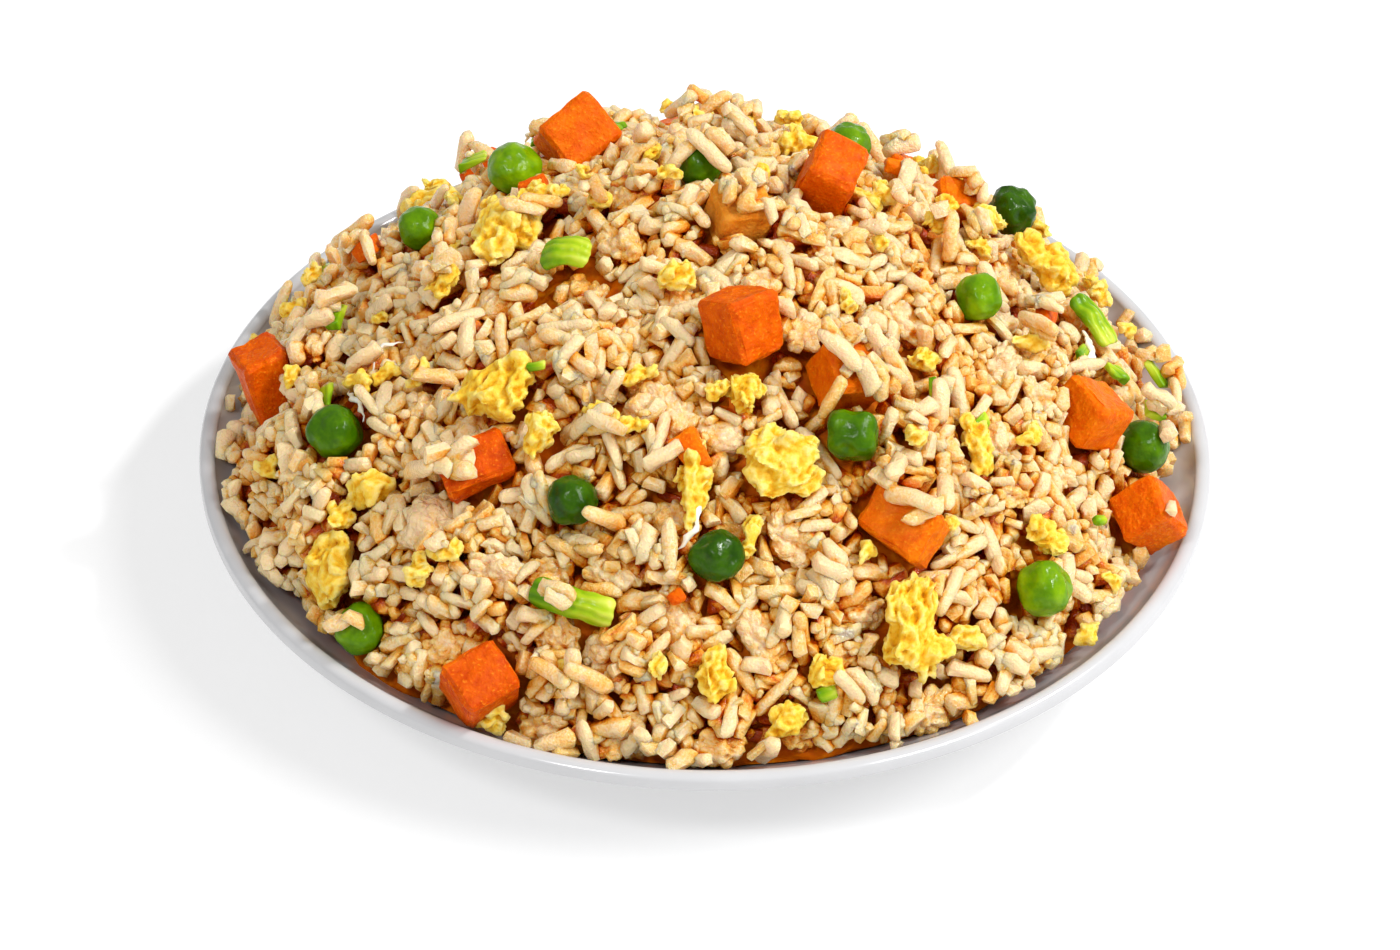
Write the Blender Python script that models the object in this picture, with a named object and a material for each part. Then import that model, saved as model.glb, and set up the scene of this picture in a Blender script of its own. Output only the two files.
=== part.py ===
"""A heaped serving of fried rice with peas, diced carrot, scrambled egg and spring onion on a small round plate.

Metres, +Z up. The origin is on the table under the plate's centre. +X is to the eater's right, -Y is the side
nearest to the eater. Sizes below are in millimetres and are turned into metres where a mesh is made.
"""

import bisect
import math
import random

import bmesh
import bpy
from mathutils import Euler, Matrix, Vector, noise
from mathutils.bvhtree import BVHTree
from mathutils.geometry import delaunay_2d_cdt

MM = 0.001
GAP = 0.35  # clearance kept between pieces that touch
CORE_FLOOR_GAP = 0.5  # height between the plate's sloping face and the rice, which leaves GAP across the slope

# Plate
PLATE_RADIUS = 85.0
PLATE_HEIGHT = 24.0
PLATE_SEGMENTS = 48
RIM_WIDTH = 2.8
RIM_ROUND = 0.8
RIM_LIP_DEPTH = 2.4
WELL_RADIUS = 44.0
WELL_FLOOR = 5.0
WALL_CURVE = 1.8  # exponent of the inner wall's rise
WALL_THICKNESS = 2.6
FOOT_INNER_RADIUS = 40.5
FOOT_WIDTH = 4.0
FOOT_CHAMFER = 1.4
FOOT_RECESS = 2.2
WALL_STOPS = (0.4, 0.74)  # shares of the wall's width where the inner profile has a point

# Heap
HEAP_RADIUS = 80.3
HEAP_RISE = 49.0  # from the foot of the heap to its top
HEAP_POWER = 1.84
HEAP_ROUNDING = 0.83
FOOT_WANDER = 1.3  # how far the heap's outline strays from a circle
CLUMP_SIZE, CLUMP_RELIEF = 15.0, 1.7
BUMP_SIZE, BUMP_RELIEF = 4.1, 1.3
CORE_SPACING = 5.6  # between the surface's points where no grain shows

# Grains that show on the heap
GRAIN_LENGTH = (6.0, 10.0)
GRAIN_WIDTH = (2.8, 3.8)
GRAIN_STAND = (1.6, 2.8)  # how far a grain's back stands above the heap
GRAIN_SINK = -0.8  # the outline of a grain, under the heap's surface
GRAIN_COUNT = 340
GRAIN_GAP = 0.5
GRAIN_SEED = 11

COLOURS = {
    "plate": ((0.86, 0.86, 0.87), 0.22),
    "rice": ((0.72, 0.53, 0.31), 0.5),
    "pea": ((0.10, 0.32, 0.03), 0.3),
    "carrot": ((0.85, 0.19, 0.02), 0.4),
    "egg": ((0.88, 0.62, 0.14), 0.5),
    "onion": ((0.32, 0.50, 0.05), 0.35),
}

# Toppings. Places are millimetres right of and behind the plate's centre; lift is how far the middle stands
# above the heap's surface, and angles are degrees about X, Y and Z.
PEAS = (
    # right, back, lift, diameter, wrinkle
    (-32.0, 20.5, 1.6, 9.6, 0.03),
    (-48.2, 16.0, 0.2, 8.2, 0.02),
    (-1.7, 13.0, -0.8, 8.4, 0.02),
    (22.5, 26.5, 1.6, 8.8, 0.02),
    (50.8, 32.0, 2.0, 9.4, 0.07),
    (43.3, -6.5, 0.6, 8.4, 0.02),
    (-59.0, -25.5, 0.8, 9.8, 0.03),
    (-20.5, -50.5, 0.2, 8.8, 0.04),
    (22.5, -41.2, 1.0, 9.4, 0.08),
    (2.0, -59.3, 0.4, 9.0, 0.03),
    (-54.0, -55.8, -0.4, 8.6, 0.03),
    (53.0, -50.0, 0.9, 9.8, 0.06),
    (71.3, -14.2, 0.8, 9.6, 0.04),
    (-27.5, 66.5, -1.4, 8.6, 0.03),
    (14.0, 73.0, -0.8, 8.6, 0.05),
    (46.8, 57.5, -1.6, 8.4, 0.03),
    (5.5, 51.0, -2.2, 8.2, 0.02),
)
CARROTS = (
    # right, back, lift, edges, angles, taper
    (-22.0, 30.5, 0.9, (11.0, 10.5, 10.5), (38.0, -22.0, 35.0), 0.0),
    (19.0, 10.5, 1.2, (8.5, 9.5, 11.5), (16.0, 20.0, -12.0), 0.0),
    (5.0, -27.0, 2.2, (9.5, 9.5, 10.0), (-22.0, 6.0, 42.0), 0.0),
    (-72.6, -2.0, 0.4, (8.0, 9.0, 12.5), (-8.0, -12.0, 28.0), 0.0),
    (22.5, -31.0, -1.1, (9.5, 9.0, 8.5), (30.0, 15.0, 25.0), 0.0),
    (5.0, -1.5, -1.0, (9.0, 8.5, 7.5), (10.0, 8.0, 20.0), 0.12),
    (62.0, -17.0, 0.4, (9.5, 9.5, 8.5), (12.0, 32.0, 38.0), 0.0),
    (72.0, -26.2, 0.4, (8.5, 9.0, 8.5), (20.0, 48.0, 30.0), 0.0),
    (-36.0, -42.0, -0.5, (12.0, 7.5, 7.0), (30.0, -16.0, 20.0), 0.45),
    (31.0, -50.7, -0.6, (12.0, 8.5, 8.5), (38.0, 10.0, -38.0), 0.1),
    (-33.9, -68.9, 1.1, (9.0, 9.0, 9.0), (28.0, -12.0, 33.0), 0.0),
    (41.5, 27.0, -0.9, (7.0, 6.5, 6.0), (20.0, 20.0, 10.0), 0.0),
    (-40.0, 61.5, -2.0, (8.5, 8.5, 8.0), (25.0, -28.0, 15.0), 0.0),
    (-6.0, 71.5, -1.2, (9.0, 8.5, 8.5), (-30.0, 8.0, 40.0), 0.0),
    (36.0, 63.5, -2.0, (8.5, 9.0, 8.5), (-18.0, 25.0, 12.0), 0.0),
)
EGGS = (
    # right, back, lift, width, depth, height, turn, seed
    (-33.5, -0.5, 0.8, 11.5, 15.0, 8.0, -12.0, 1),
    (-33.0, -32.5, 0.5, 17.0, 11.0, 7.5, 6.0, 2),
    (12.0, -46.0, 1.0, 13.0, 15.5, 8.5, 18.0, 3),
    (32.0, -62.6, 0.7, 13.5, 19.0, 9.0, 8.0, 4),
    (-1.5, -50.6, 0.6, 7.0, 17.0, 6.5, -14.0, 5),
    (5.5, -37.2, 0.6, 7.0, 8.0, 6.0, 0.0, 6),
    (-5.0, -17.5, 0.2, 6.5, 6.5, 5.5, 20.0, 7),
    (55.4, 16.2, 0.8, 11.5, 13.5, 7.0, 25.0, 8),
    (46.6, 21.0, 0.6, 7.0, 7.5, 5.5, 30.0, 9),
    (28.5, 13.5, 0.2, 6.0, 5.5, 4.5, 0.0, 10),
    (14.0, 24.5, 0.4, 9.0, 6.0, 5.5, 0.0, 11),
    (-58.8, -45.6, 0.2, 9.5, 14.0, 7.0, -24.0, 12),
    (-53.4, -37.0, -0.4, 7.5, 8.0, 6.0, -30.0, 13),
    (-26.0, -41.5, 0.6, 6.2, 9.0, 5.5, -16.0, 14),
    (2.0, -72.5, 0.2, 6.6, 10.0, 6.0, 10.0, 15),
    (13.5, -75.6, 0.0, 7.0, 6.5, 5.0, 0.0, 16),
    (43.0, -34.8, 0.4, 6.2, 12.5, 5.5, 16.0, 17),
    (-51.5, 53.5, -1.2, 10.0, 8.0, 6.0, 30.0, 18),
    (25.0, 68.5, -1.0, 11.0, 8.5, 6.0, -20.0, 19),
    (-17.2, 68.5, -1.0, 9.0, 8.0, 5.5, 0.0, 20),
)
LARGE_EGG = 13.0  # longer curds get the finer mesh
ONIONS = (
    # right, back, lift, length, width, bend in degrees, turn, tilt
    (-22.5, -10.0, 0.9, 9.5, 5.6, 105.0, -14.0, 12.0),
    (-20.0, -63.0, 0.5, 13.5, 5.0, 40.0, -22.0, 8.0),
    (63.8, 7.6, 1.4, 10.0, 4.6, 25.0, -42.0, 20.0),
    (4.3, 68.5, -0.4, 9.5, 4.4, 50.0, 12.0, 10.0),
)
ONION_WALL = 1.5

# The pockets that toppings sit in
SOCKET_SIDES = 8
SOCKET_MOUTH = 9.0


def clear_scene():
    for thing in list(bpy.data.objects):
        bpy.data.objects.remove(thing, do_unlink=True)


def make_material(name):
    colour, roughness = COLOURS[name]
    material = bpy.data.materials.new(name)
    material.use_nodes = True
    shader = material.node_tree.nodes["Principled BSDF"]
    shader.inputs["Base Color"].default_value = (*colour, 1.0)
    shader.inputs["Roughness"].default_value = roughness
    shader.inputs["Metallic"].default_value = 0.0
    return material


def face_outwards(bm):
    """Makes every face of a closed bmesh point out."""
    bmesh.ops.recalc_face_normals(bm, faces=bm.faces)
    if bm.calc_volume(signed=True) < 0.0:
        bmesh.ops.reverse_faces(bm, faces=bm.faces)
    bm.normal_update()


def add_object(name, bm, material, smooth_angle=None):
    """Turns a bmesh in millimetres into a named object in metres."""
    face_outwards(bm)
    bm.transform(Matrix.Scale(MM, 4))
    mesh = bpy.data.meshes.new(name)
    bm.to_mesh(mesh)
    bm.free()
    mesh.materials.append(material)
    if smooth_angle is not None:
        mesh.shade_smooth()
        mesh.set_sharp_from_angle(angle=math.radians(smooth_angle))
    thing = bpy.data.objects.new(name, mesh)
    bpy.context.scene.collection.objects.link(thing)
    return thing


# The plate

def plate_inner_profile():
    """Radius and height of the plate's inner face, from its middle out to the rim's inner edge."""
    rim_inner = PLATE_RADIUS - RIM_WIDTH
    rise = PLATE_HEIGHT - RIM_ROUND - WELL_FLOOR
    points = [(0.0, WELL_FLOOR), (WELL_RADIUS, WELL_FLOOR)]
    for share in (*WALL_STOPS, 1.0):
        radius = WELL_RADIUS + share * (rim_inner - WELL_RADIUS)
        points.append((radius, WELL_FLOOR + rise * share**WALL_CURVE))
    return points


def plate_inner_height(radius):
    """Height of the plate's faceted inner face at a radius."""
    points = plate_inner_profile()
    for (r0, z0), (r1, z1) in zip(points, points[1:]):
        if radius <= r1:
            return z0 + (z1 - z0) * (radius - r0) / (r1 - r0)
    return points[-1][1]


def plate_profile():
    """The whole cross-section: inner face, rounded rim, outer wall, foot ring and recess."""
    inner = plate_inner_profile()
    rim_inner = PLATE_RADIUS - RIM_WIDTH
    foot_outer = FOOT_INNER_RADIUS + FOOT_WIDTH
    rim = [
        (rim_inner + RIM_ROUND, PLATE_HEIGHT),
        (PLATE_RADIUS - RIM_ROUND, PLATE_HEIGHT),
        (PLATE_RADIUS, PLATE_HEIGHT - RIM_ROUND),
        (PLATE_RADIUS, PLATE_HEIGHT - RIM_LIP_DEPTH),
    ]
    outer = [(r + 0.5 * WALL_THICKNESS, z - 0.8 * WALL_THICKNESS) for r, z in reversed(inner[2:-1])]
    foot = [
        (foot_outer + FOOT_CHAMFER, FOOT_RECESS),
        (foot_outer, 0.0),
        (FOOT_INNER_RADIUS, 0.0),
        (FOOT_INNER_RADIUS - FOOT_CHAMFER, FOOT_RECESS),
        (0.0, FOOT_RECESS),
    ]
    return inner + rim + outer + foot


def build_plate(material):
    profile = plate_profile()
    bm = bmesh.new()
    rings = []
    for radius, height in profile:
        if radius == 0.0:
            rings.append([bm.verts.new((0.0, 0.0, height))] * PLATE_SEGMENTS)
            continue
        turn = 2.0 * math.pi / PLATE_SEGMENTS
        rings.append([
            bm.verts.new((radius * math.cos(k * turn), radius * math.sin(k * turn), height))
            for k in range(PLATE_SEGMENTS)
        ])
    for inner, outer in zip(rings, rings[1:]):
        for k in range(PLATE_SEGMENTS):
            following = (k + 1) % PLATE_SEGMENTS
            corners = [inner[k], outer[k], outer[following], inner[following]]
            bm.faces.new(list(dict.fromkeys(corners)))
    return add_object("plate", bm, material, smooth_angle=40.0)


# The heap's surface

def heap_reach(bearing):
    """The heap's foot radius in a direction: nearly a circle, with a slightly ragged outline."""
    around = Vector((2.2 * math.cos(bearing), 2.2 * math.sin(bearing), 4.0))
    return HEAP_RADIUS + FOOT_WANDER * noise.noise(around)


def smooth_heap_point(share, bearing):
    """A point of the heap before its clumps are added. Share runs from 0 on top to 1 at the foot."""
    reach = heap_reach(bearing)
    radius = share * reach
    foot = plate_inner_height(reach) + CORE_FLOOR_GAP
    height = foot + HEAP_RISE * max(0.0, 1.0 - share**HEAP_POWER) ** HEAP_ROUNDING
    return Vector((radius * math.cos(bearing), radius * math.sin(bearing), height))


def heap_frame(right, back):
    """The smooth heap's point above a place in plan, and its outward normal."""
    bearing = math.atan2(back, right)
    share = min(math.hypot(right, back) / heap_reach(bearing), 0.985)
    step = 0.004
    here = smooth_heap_point(share, bearing)
    inwards = smooth_heap_point(max(share - step, 0.0), bearing)
    outwards = smooth_heap_point(share + step, bearing)
    slope = (outwards.z - inwards.z) / max((outwards - inwards).xy.length, 1e-6)
    normal = Vector((-slope * math.cos(bearing), -slope * math.sin(bearing), 1.0)).normalized()
    return here, normal


def clump_relief(point):
    """How far the heap's clumps raise the surface at a point."""
    return CLUMP_RELIEF * 2.0 * noise.noise(point / CLUMP_SIZE)


def slope_table(steps=400):
    """Arc length from the heap's top for evenly spaced shares of the radius."""
    points = [smooth_heap_point(i / steps, 0.0) for i in range(steps + 1)]
    lengths = [0.0]
    for a, b in zip(points, points[1:]):
        lengths.append(lengths[-1] + (b - a).length)
    return lengths


def share_at(lengths, length):
    """The share of the radius at an arc length from the top."""
    index = bisect.bisect_left(lengths, length, 1, len(lengths) - 1)
    low, high = lengths[index - 1], lengths[index]
    return (index - 1 + min(1.0, (length - low) / (high - low))) / (len(lengths) - 1)


class HeapSurface:
    """The heap's slope rolled out flat: a place is an arc length and a bearing, kept as a flat point."""

    def __init__(self):
        self.lengths = slope_table()
        self.slope = self.lengths[-1]
        self.flat, self.raised, self.edges = [], [], []

    def squeeze(self, flat):
        """How much wider the flat layout is than the heap, round about."""
        share = share_at(self.lengths, flat.length)
        return max(1.0, flat.length / max(share * HEAP_RADIUS, 1e-3))

    def moved(self, flat, along, heading):
        """A flat point moved by a true distance along the heap."""
        bearing = math.atan2(flat.y, flat.x)
        outwards = Vector((math.cos(bearing), math.sin(bearing)))
        around = Vector((-outwards.y, outwards.x)) * self.squeeze(flat)
        step = Vector((math.cos(heading), math.sin(heading))) * along
        return flat + outwards * step.x + around * step.y

    def lifted(self, flat, height):
        """The solid's point above a flat one, a height over the bumpy surface."""
        share = min(share_at(self.lengths, flat.length), 0.992)
        here = smooth_heap_point(share, math.atan2(flat.y, flat.x))
        place, normal = heap_frame(here.x, here.y)
        near_foot = min(1.0, (1.0 - share) / 0.05)
        return place + normal * (clump_relief(place) + height) * near_foot

    def add(self, flat, height):
        self.flat.append(flat)
        self.raised.append(height)
        return len(self.flat) - 1

    def add_grain(self, flat, heading, length, width, stand):
        """A grain lying on the heap: a two-point back over a six-point outline."""
        half, side = 0.5 * length, 0.5 * math.pi
        back = [self.moved(flat, sign * 0.56 * half, heading) for sign in (-1.0, 1.0)]
        outline = [self.moved(flat, -half, heading)]
        outline += [self.moved(back[k], -0.5 * width, heading + side) for k in (0, 1)]
        outline += [self.moved(flat, half, heading)]
        outline += [self.moved(back[k], 0.5 * width, heading + side) for k in (1, 0)]
        ridge = [self.add(point, stand) for point in back]
        foot = [self.add(point, GRAIN_SINK) for point in outline]
        self.edges.append(tuple(ridge))
        self.edges += list(zip(foot, foot[1:] + foot[:1]))


def spine_distance(point, start, end):
    """Distance in the flat layout from a point to a grain's spine."""
    along = end - start
    share = max(0.0, min(1.0, (point - start).dot(along) / along.length_squared))
    return (point - start - along * share).length


def lay_grains(surface, sockets):
    """Grains spread evenly by a seeded rule, skipping those that would cross a topping or another grain."""
    rng = random.Random(GRAIN_SEED)
    spines = []
    for _ in range(16000):
        if len(spines) == GRAIN_COUNT:
            break
        length, width = rng.uniform(*GRAIN_LENGTH), rng.uniform(*GRAIN_WIDTH)
        reach = (surface.slope - 5.0) * math.sqrt(rng.random())
        bearing = rng.uniform(0.0, 2.0 * math.pi)
        flat = Vector((reach * math.cos(bearing), reach * math.sin(bearing)))
        heading = rng.uniform(0.0, math.pi)
        if rng.random() > 1.0 / surface.squeeze(flat):
            continue
        points = [surface.moved(flat, length * share, heading) for share in (-0.5, -0.25, 0.0, 0.25, 0.5)]
        wide = width * surface.squeeze(flat)
        clear = all(
            spine_distance(point, start, end) > 0.5 * (wide + other) + GRAIN_GAP
            for start, end, other in spines
            if (start - flat).length < 30.0
            for point in points
        )
        if not clear or max(point.length for point in points) > surface.slope - 4.0:
            continue
        solid = [surface.lifted(point, 0.0) for point in points]
        if any(socket_clearance(socket, point) < 0.5 * width + 0.4 for socket in sockets for point in solid):
            continue
        spines.append((points[0], points[-1], wide))
        surface.add_grain(flat, heading, length, width, rng.uniform(*GRAIN_STAND))
    return spines


def fill_between(surface, spines):
    """Points of the bumpy surface where no grain lies."""
    rng = random.Random(3)
    rings = round(surface.slope / CORE_SPACING)
    for ring in range(rings):
        length = surface.slope * ring / rings
        share = share_at(surface.lengths, length)
        count = 1 if ring == 0 else max(6, round(2.0 * math.pi * share * HEAP_RADIUS / CORE_SPACING))
        for k in range(count):
            bearing = 2.0 * math.pi * (k + rng.uniform(-0.25, 0.25) + 0.5 * (ring % 2)) / count
            flat = Vector((length * math.cos(bearing), length * math.sin(bearing)))
            beside = [
                spine_distance(flat, start, end) - 0.5 * wide
                for start, end, wide in spines
                if (start - flat).length < 20.0
            ]
            if min(beside, default=9.0) > 1.1:
                place = surface.lifted(flat, 0.0)
                bump = noise.noise(place / BUMP_SIZE + Vector((7.0, 3.0, 1.0)))
                surface.add(flat, BUMP_RELIEF * 2.0 * bump)


def build_core(material, sockets):
    """The solid heap: a dome covered in grains on top, and the plate's hollow below."""
    surface = HeapSurface()
    spines = lay_grains(surface, sockets)
    fill_between(surface, spines)
    bm = bmesh.new()
    points = [bm.verts.new(surface.lifted(flat, up)) for flat, up in zip(surface.flat, surface.raised)]
    flat, foot_ring = list(surface.flat), []
    for k in range(2 * PLATE_SEGMENTS):
        bearing = math.pi * k / PLATE_SEGMENTS
        flat.append(Vector((math.cos(bearing), math.sin(bearing))) * surface.slope)
        foot_ring.append(bm.verts.new(smooth_heap_point(1.0, bearing)))
    add_triangles(bm, flat, points + foot_ring, surface.edges)

    under = list(foot_ring)
    for radius, height in plate_inner_profile()[-2:0:-1]:
        for k in range(PLATE_SEGMENTS):
            bearing = 2.0 * math.pi * k / PLATE_SEGMENTS
            under.append(bm.verts.new((
                radius * math.cos(bearing), radius * math.sin(bearing), height + CORE_FLOOR_GAP,
            )))
    under.append(bm.verts.new((0.0, 0.0, WELL_FLOOR + CORE_FLOOR_GAP)))
    add_triangles(bm, [vertex.co.xy.copy() for vertex in under], under, [])
    return add_object("rice_heap", bm, material)


def add_triangles(bm, flat, verts, edges):
    """Joins points by the Delaunay triangles of their flat layout, keeping the given edges."""
    _, _, faces, sources, _, _ = delaunay_2d_cdt(flat, edges, [], 0, 1e-6)
    for face in faces:
        bm.faces.new([verts[sources[i][0]] for i in face])


# Toppings

def toppings_place(right, back, lift, angles):
    """The matrix of a topping whose middle stands at a lift above the heap's surface."""
    here, normal = heap_frame(right, back)
    turn = Euler([math.radians(a) for a in angles], "XYZ").to_matrix().to_4x4()
    return Matrix.Translation(here + normal * lift) @ turn


def lying_place(right, back, lift, turn, tilt=0.0):
    """The matrix of a topping that lies along the heap's surface, turned about the surface's normal."""
    here, normal = heap_frame(right, back)
    lean = Vector((0.0, 0.0, 1.0)).rotation_difference(normal).to_matrix().to_4x4()
    spin = Matrix.Rotation(math.radians(turn), 4, "Z") @ Matrix.Rotation(math.radians(tilt), 4, "X")
    return Matrix.Translation(here + normal * lift) @ lean @ spin


def pea_mesh(diameter, wrinkle, seed):
    bm = bmesh.new()
    bmesh.ops.create_icosphere(bm, subdivisions=2, radius=0.5 * diameter)
    squeeze = Vector((1.0, 0.95, 0.93))
    for vertex in bm.verts:
        outwards = vertex.co.normalized()
        crease = noise.noise(outwards * 2.1 + Vector((seed * 5.0, 0.0, 0.0)))
        vertex.co = vertex.co * squeeze * (1.0 + 2.2 * wrinkle * crease)
    return bm


def carrot_mesh(edges, taper, seed):
    """A knife-cut dice: a slightly uneven block with worn edges. Taper narrows its +X end to a wedge."""
    rng = random.Random(40 + seed)
    bm = bmesh.new()
    bmesh.ops.create_cube(bm, size=1.0)
    for vertex in bm.verts:
        uneven = Vector([rng.uniform(-0.045, 0.045) for _ in range(3)])
        vertex.co = vertex.co + uneven
        if vertex.co.x > 0.0:
            vertex.co.z *= 1.0 - taper
        vertex.co = Vector([vertex.co[i] * edges[i] for i in range(3)])
    bmesh.ops.bevel(
        bm, geom=bm.edges[:], offset=0.75, offset_type="OFFSET", segments=1, profile=0.5, affect="EDGES"
    )
    return bm


def curd_mesh(width, depth, height, seed):
    """A scrambled-egg curd: a ball pushed out into folded lobes."""
    rng = random.Random(70 + seed)
    bm = bmesh.new()
    if max(width, depth) >= LARGE_EGG:
        bmesh.ops.create_cube(bm, size=1.0)
        bmesh.ops.subdivide_edges(bm, edges=bm.edges[:], cuts=3, use_grid_fill=True)
        count = 11
    else:
        bmesh.ops.create_icosphere(bm, subdivisions=2, radius=1.0)
        count = 7
    lobes = []
    for _ in range(count):
        away = Vector([rng.gauss(0.0, 1.0) for _ in range(3)]).normalized()
        lobes.append((away * rng.uniform(0.55, 0.75), rng.uniform(0.26, 0.42)))
    for vertex in bm.verts:
        outwards = vertex.co.normalized()
        reach = 0.62
        for centre, radius in lobes:
            along = centre.dot(outwards)
            beside = centre.length_squared - along * along
            if along > 0.0 and beside < radius * radius:
                reach = max(reach, along + math.sqrt(radius * radius - beside))
        vertex.co = outwards * reach
    size = (width, depth, height)
    for axis in range(3):
        low = min(vertex.co[axis] for vertex in bm.verts)
        high = max(vertex.co[axis] for vertex in bm.verts)
        for vertex in bm.verts:
            vertex.co[axis] = size[axis] * ((vertex.co[axis] - low) / (high - low) - 0.5)
    return bm


def onion_mesh(length, width, bend):
    """A piece of green onion stalk: a gutter-shaped strip, curled along its length."""
    along, across = 6, 3
    bend = math.radians(bend)
    radius = length / bend
    bm = bmesh.new()
    sheets = []
    for inside in (0, 1):
        rows = []
        for i in range(along):
            angle = bend * (i / (along - 1) - 0.5)
            row = []
            for j in range(across):
                side = 2.0 * j / (across - 1) - 1.0
                wavy = 0.25 * math.sin(2.4 * i + 1.7 * side)
                cup = 0.22 * width * side * side + wavy + (inside - 0.5) * ONION_WALL
                row.append(bm.verts.new((
                    (radius - cup) * math.sin(angle),
                    0.5 * width * side * (1.0 - 0.12 * inside),
                    (radius - cup) * math.cos(angle) - radius * math.cos(0.5 * bend),
                )))
            rows.append(row)
        sheets.append(rows)
    outer, inner = sheets
    for sheet in sheets:
        for i in range(along - 1):
            for j in range(across - 1):
                a, b, c, d = sheet[i][j], sheet[i + 1][j], sheet[i + 1][j + 1], sheet[i][j + 1]
                bm.faces.new((a, b, c))
                bm.faces.new((a, c, d))
    for i in range(along - 1):
        for j in (0, across - 1):
            bm.faces.new((outer[i][j], outer[i + 1][j], inner[i + 1][j], inner[i][j]))
    for j in range(across - 1):
        for i in (0, along - 1):
            bm.faces.new((outer[i][j], outer[i][j + 1], inner[i][j + 1], inner[i][j]))
    return bm


def topping_list():
    """Name, material, mesh and place of every topping."""
    found = []
    for i, (right, back, lift, diameter, wrinkle) in enumerate(PEAS):
        place = toppings_place(right, back, lift, (37.0 * i, 61.0 * i, 23.0 * i))
        found.append((f"pea_{i + 1:02d}", "pea", pea_mesh(diameter, wrinkle, i), place))
    for i, (right, back, lift, edges, angles, taper) in enumerate(CARROTS):
        place = toppings_place(right, back, lift, angles)
        found.append((f"carrot_{i + 1:02d}", "carrot", carrot_mesh(edges, taper, i), place))
    for i, (right, back, lift, width, depth, height, turn, seed) in enumerate(EGGS):
        place = lying_place(right, back, lift, turn)
        found.append((f"egg_{i + 1:02d}", "egg", curd_mesh(width, depth, height, seed), place))
    for i, (right, back, lift, length, width, bend, turn, tilt) in enumerate(ONIONS):
        place = lying_place(right, back, lift, turn, tilt)
        found.append((f"onion_{i + 1:02d}", "onion", onion_mesh(length, width, bend), place))
    return found


def socket_around(bm):
    """The pocket a topping sits in: an eight-sided hole around it, open outwards along the heap's normal."""
    middle = sum((vertex.co for vertex in bm.verts), Vector()) / len(bm.verts)
    _, normal = heap_frame(middle.x, middle.y)
    lean = Vector((0.0, 0.0, 1.0)).rotation_difference(normal).to_matrix()
    local = [lean.transposed() @ (vertex.co - middle) for vertex in bm.verts]
    turn = 2.0 * math.pi / SOCKET_SIDES
    reach = [
        GAP + max(point.x * math.cos(k * turn) + point.y * math.sin(k * turn) for point in local)
        for k in range(SOCKET_SIDES)
    ]
    return {
        "middle": middle, "lean": lean, "turn": turn, "reach": reach,
        "depth": min(point.z for point in local) - GAP,
    }


def socket_clearance(socket, point):
    """How far outside a pocket's sides a point is."""
    local = socket["lean"].transposed() @ (point - socket["middle"])
    if local.length > 30.0:
        return local.length
    turn = socket["turn"]
    return max(
        local.x * math.cos(k * turn) + local.y * math.sin(k * turn) - reach
        for k, reach in enumerate(socket["reach"])
    )


def socket_mesh(socket):
    turn, reach = socket["turn"], socket["reach"]
    bm = bmesh.new()
    floor, mouth = [], []
    for k in range(SOCKET_SIDES):
        ahead = reach[(k + 1) % SOCKET_SIDES]
        a, b = k * turn, (k + 1) * turn
        corner = Vector((
            (reach[k] * math.sin(b) - ahead * math.sin(a)) / math.sin(turn),
            (ahead * math.cos(a) - reach[k] * math.cos(b)) / math.sin(turn),
            0.0,
        ))
        for ring, height in ((floor, socket["depth"]), (mouth, SOCKET_MOUTH)):
            up = Vector((0.0, 0.0, height))
            ring.append(bm.verts.new(socket["middle"] + socket["lean"] @ (corner + up)))
    for k in range(SOCKET_SIDES):
        following = (k + 1) % SOCKET_SIDES
        bm.faces.new((floor[k], floor[following], mouth[following], mouth[k]))
    bm.faces.new(floor)
    bm.faces.new(mouth)
    return bm


def cut_with(thing, collection):
    """One Boolean cut with a whole collection, applied, with the collection's objects then removed."""
    bpy.context.scene.collection.children.link(collection)
    modifier = thing.modifiers.new("cut", "BOOLEAN")
    modifier.operation = "DIFFERENCE"
    modifier.operand_type = "COLLECTION"
    modifier.collection = collection
    modifier.solver = "EXACT"
    bpy.context.view_layer.update()
    evaluated = thing.evaluated_get(bpy.context.evaluated_depsgraph_get())
    mesh = bpy.data.meshes.new_from_object(evaluated)
    thing.modifiers.clear()
    thing.data = mesh
    for other in list(collection.objects):
        bpy.data.objects.remove(other, do_unlink=True)
    bpy.data.collections.remove(collection)


def keep_one_body(thing):
    """Drops loose scraps and sealed hollows, which the Booleans can leave, and keeps the largest shell."""
    bm = bmesh.new()
    bm.from_mesh(thing.data)
    bmesh.ops.triangulate(bm, faces=bm.faces)
    unseen, shells = set(bm.faces), []
    while unseen:
        stack = [unseen.pop()]
        shell = []
        while stack:
            face = stack.pop()
            shell.append(face)
            for edge in face.edges:
                for other in edge.link_faces:
                    if other in unseen:
                        unseen.discard(other)
                        stack.append(other)
        shells.append(shell)
    shells.sort(key=len)
    for shell in shells[:-1]:
        bmesh.ops.delete(bm, geom=shell, context="FACES")
    loose = [vertex for vertex in bm.verts if not vertex.link_faces]
    bmesh.ops.delete(bm, geom=loose, context="VERTS")
    bm.to_mesh(thing.data)
    bm.free()


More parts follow.
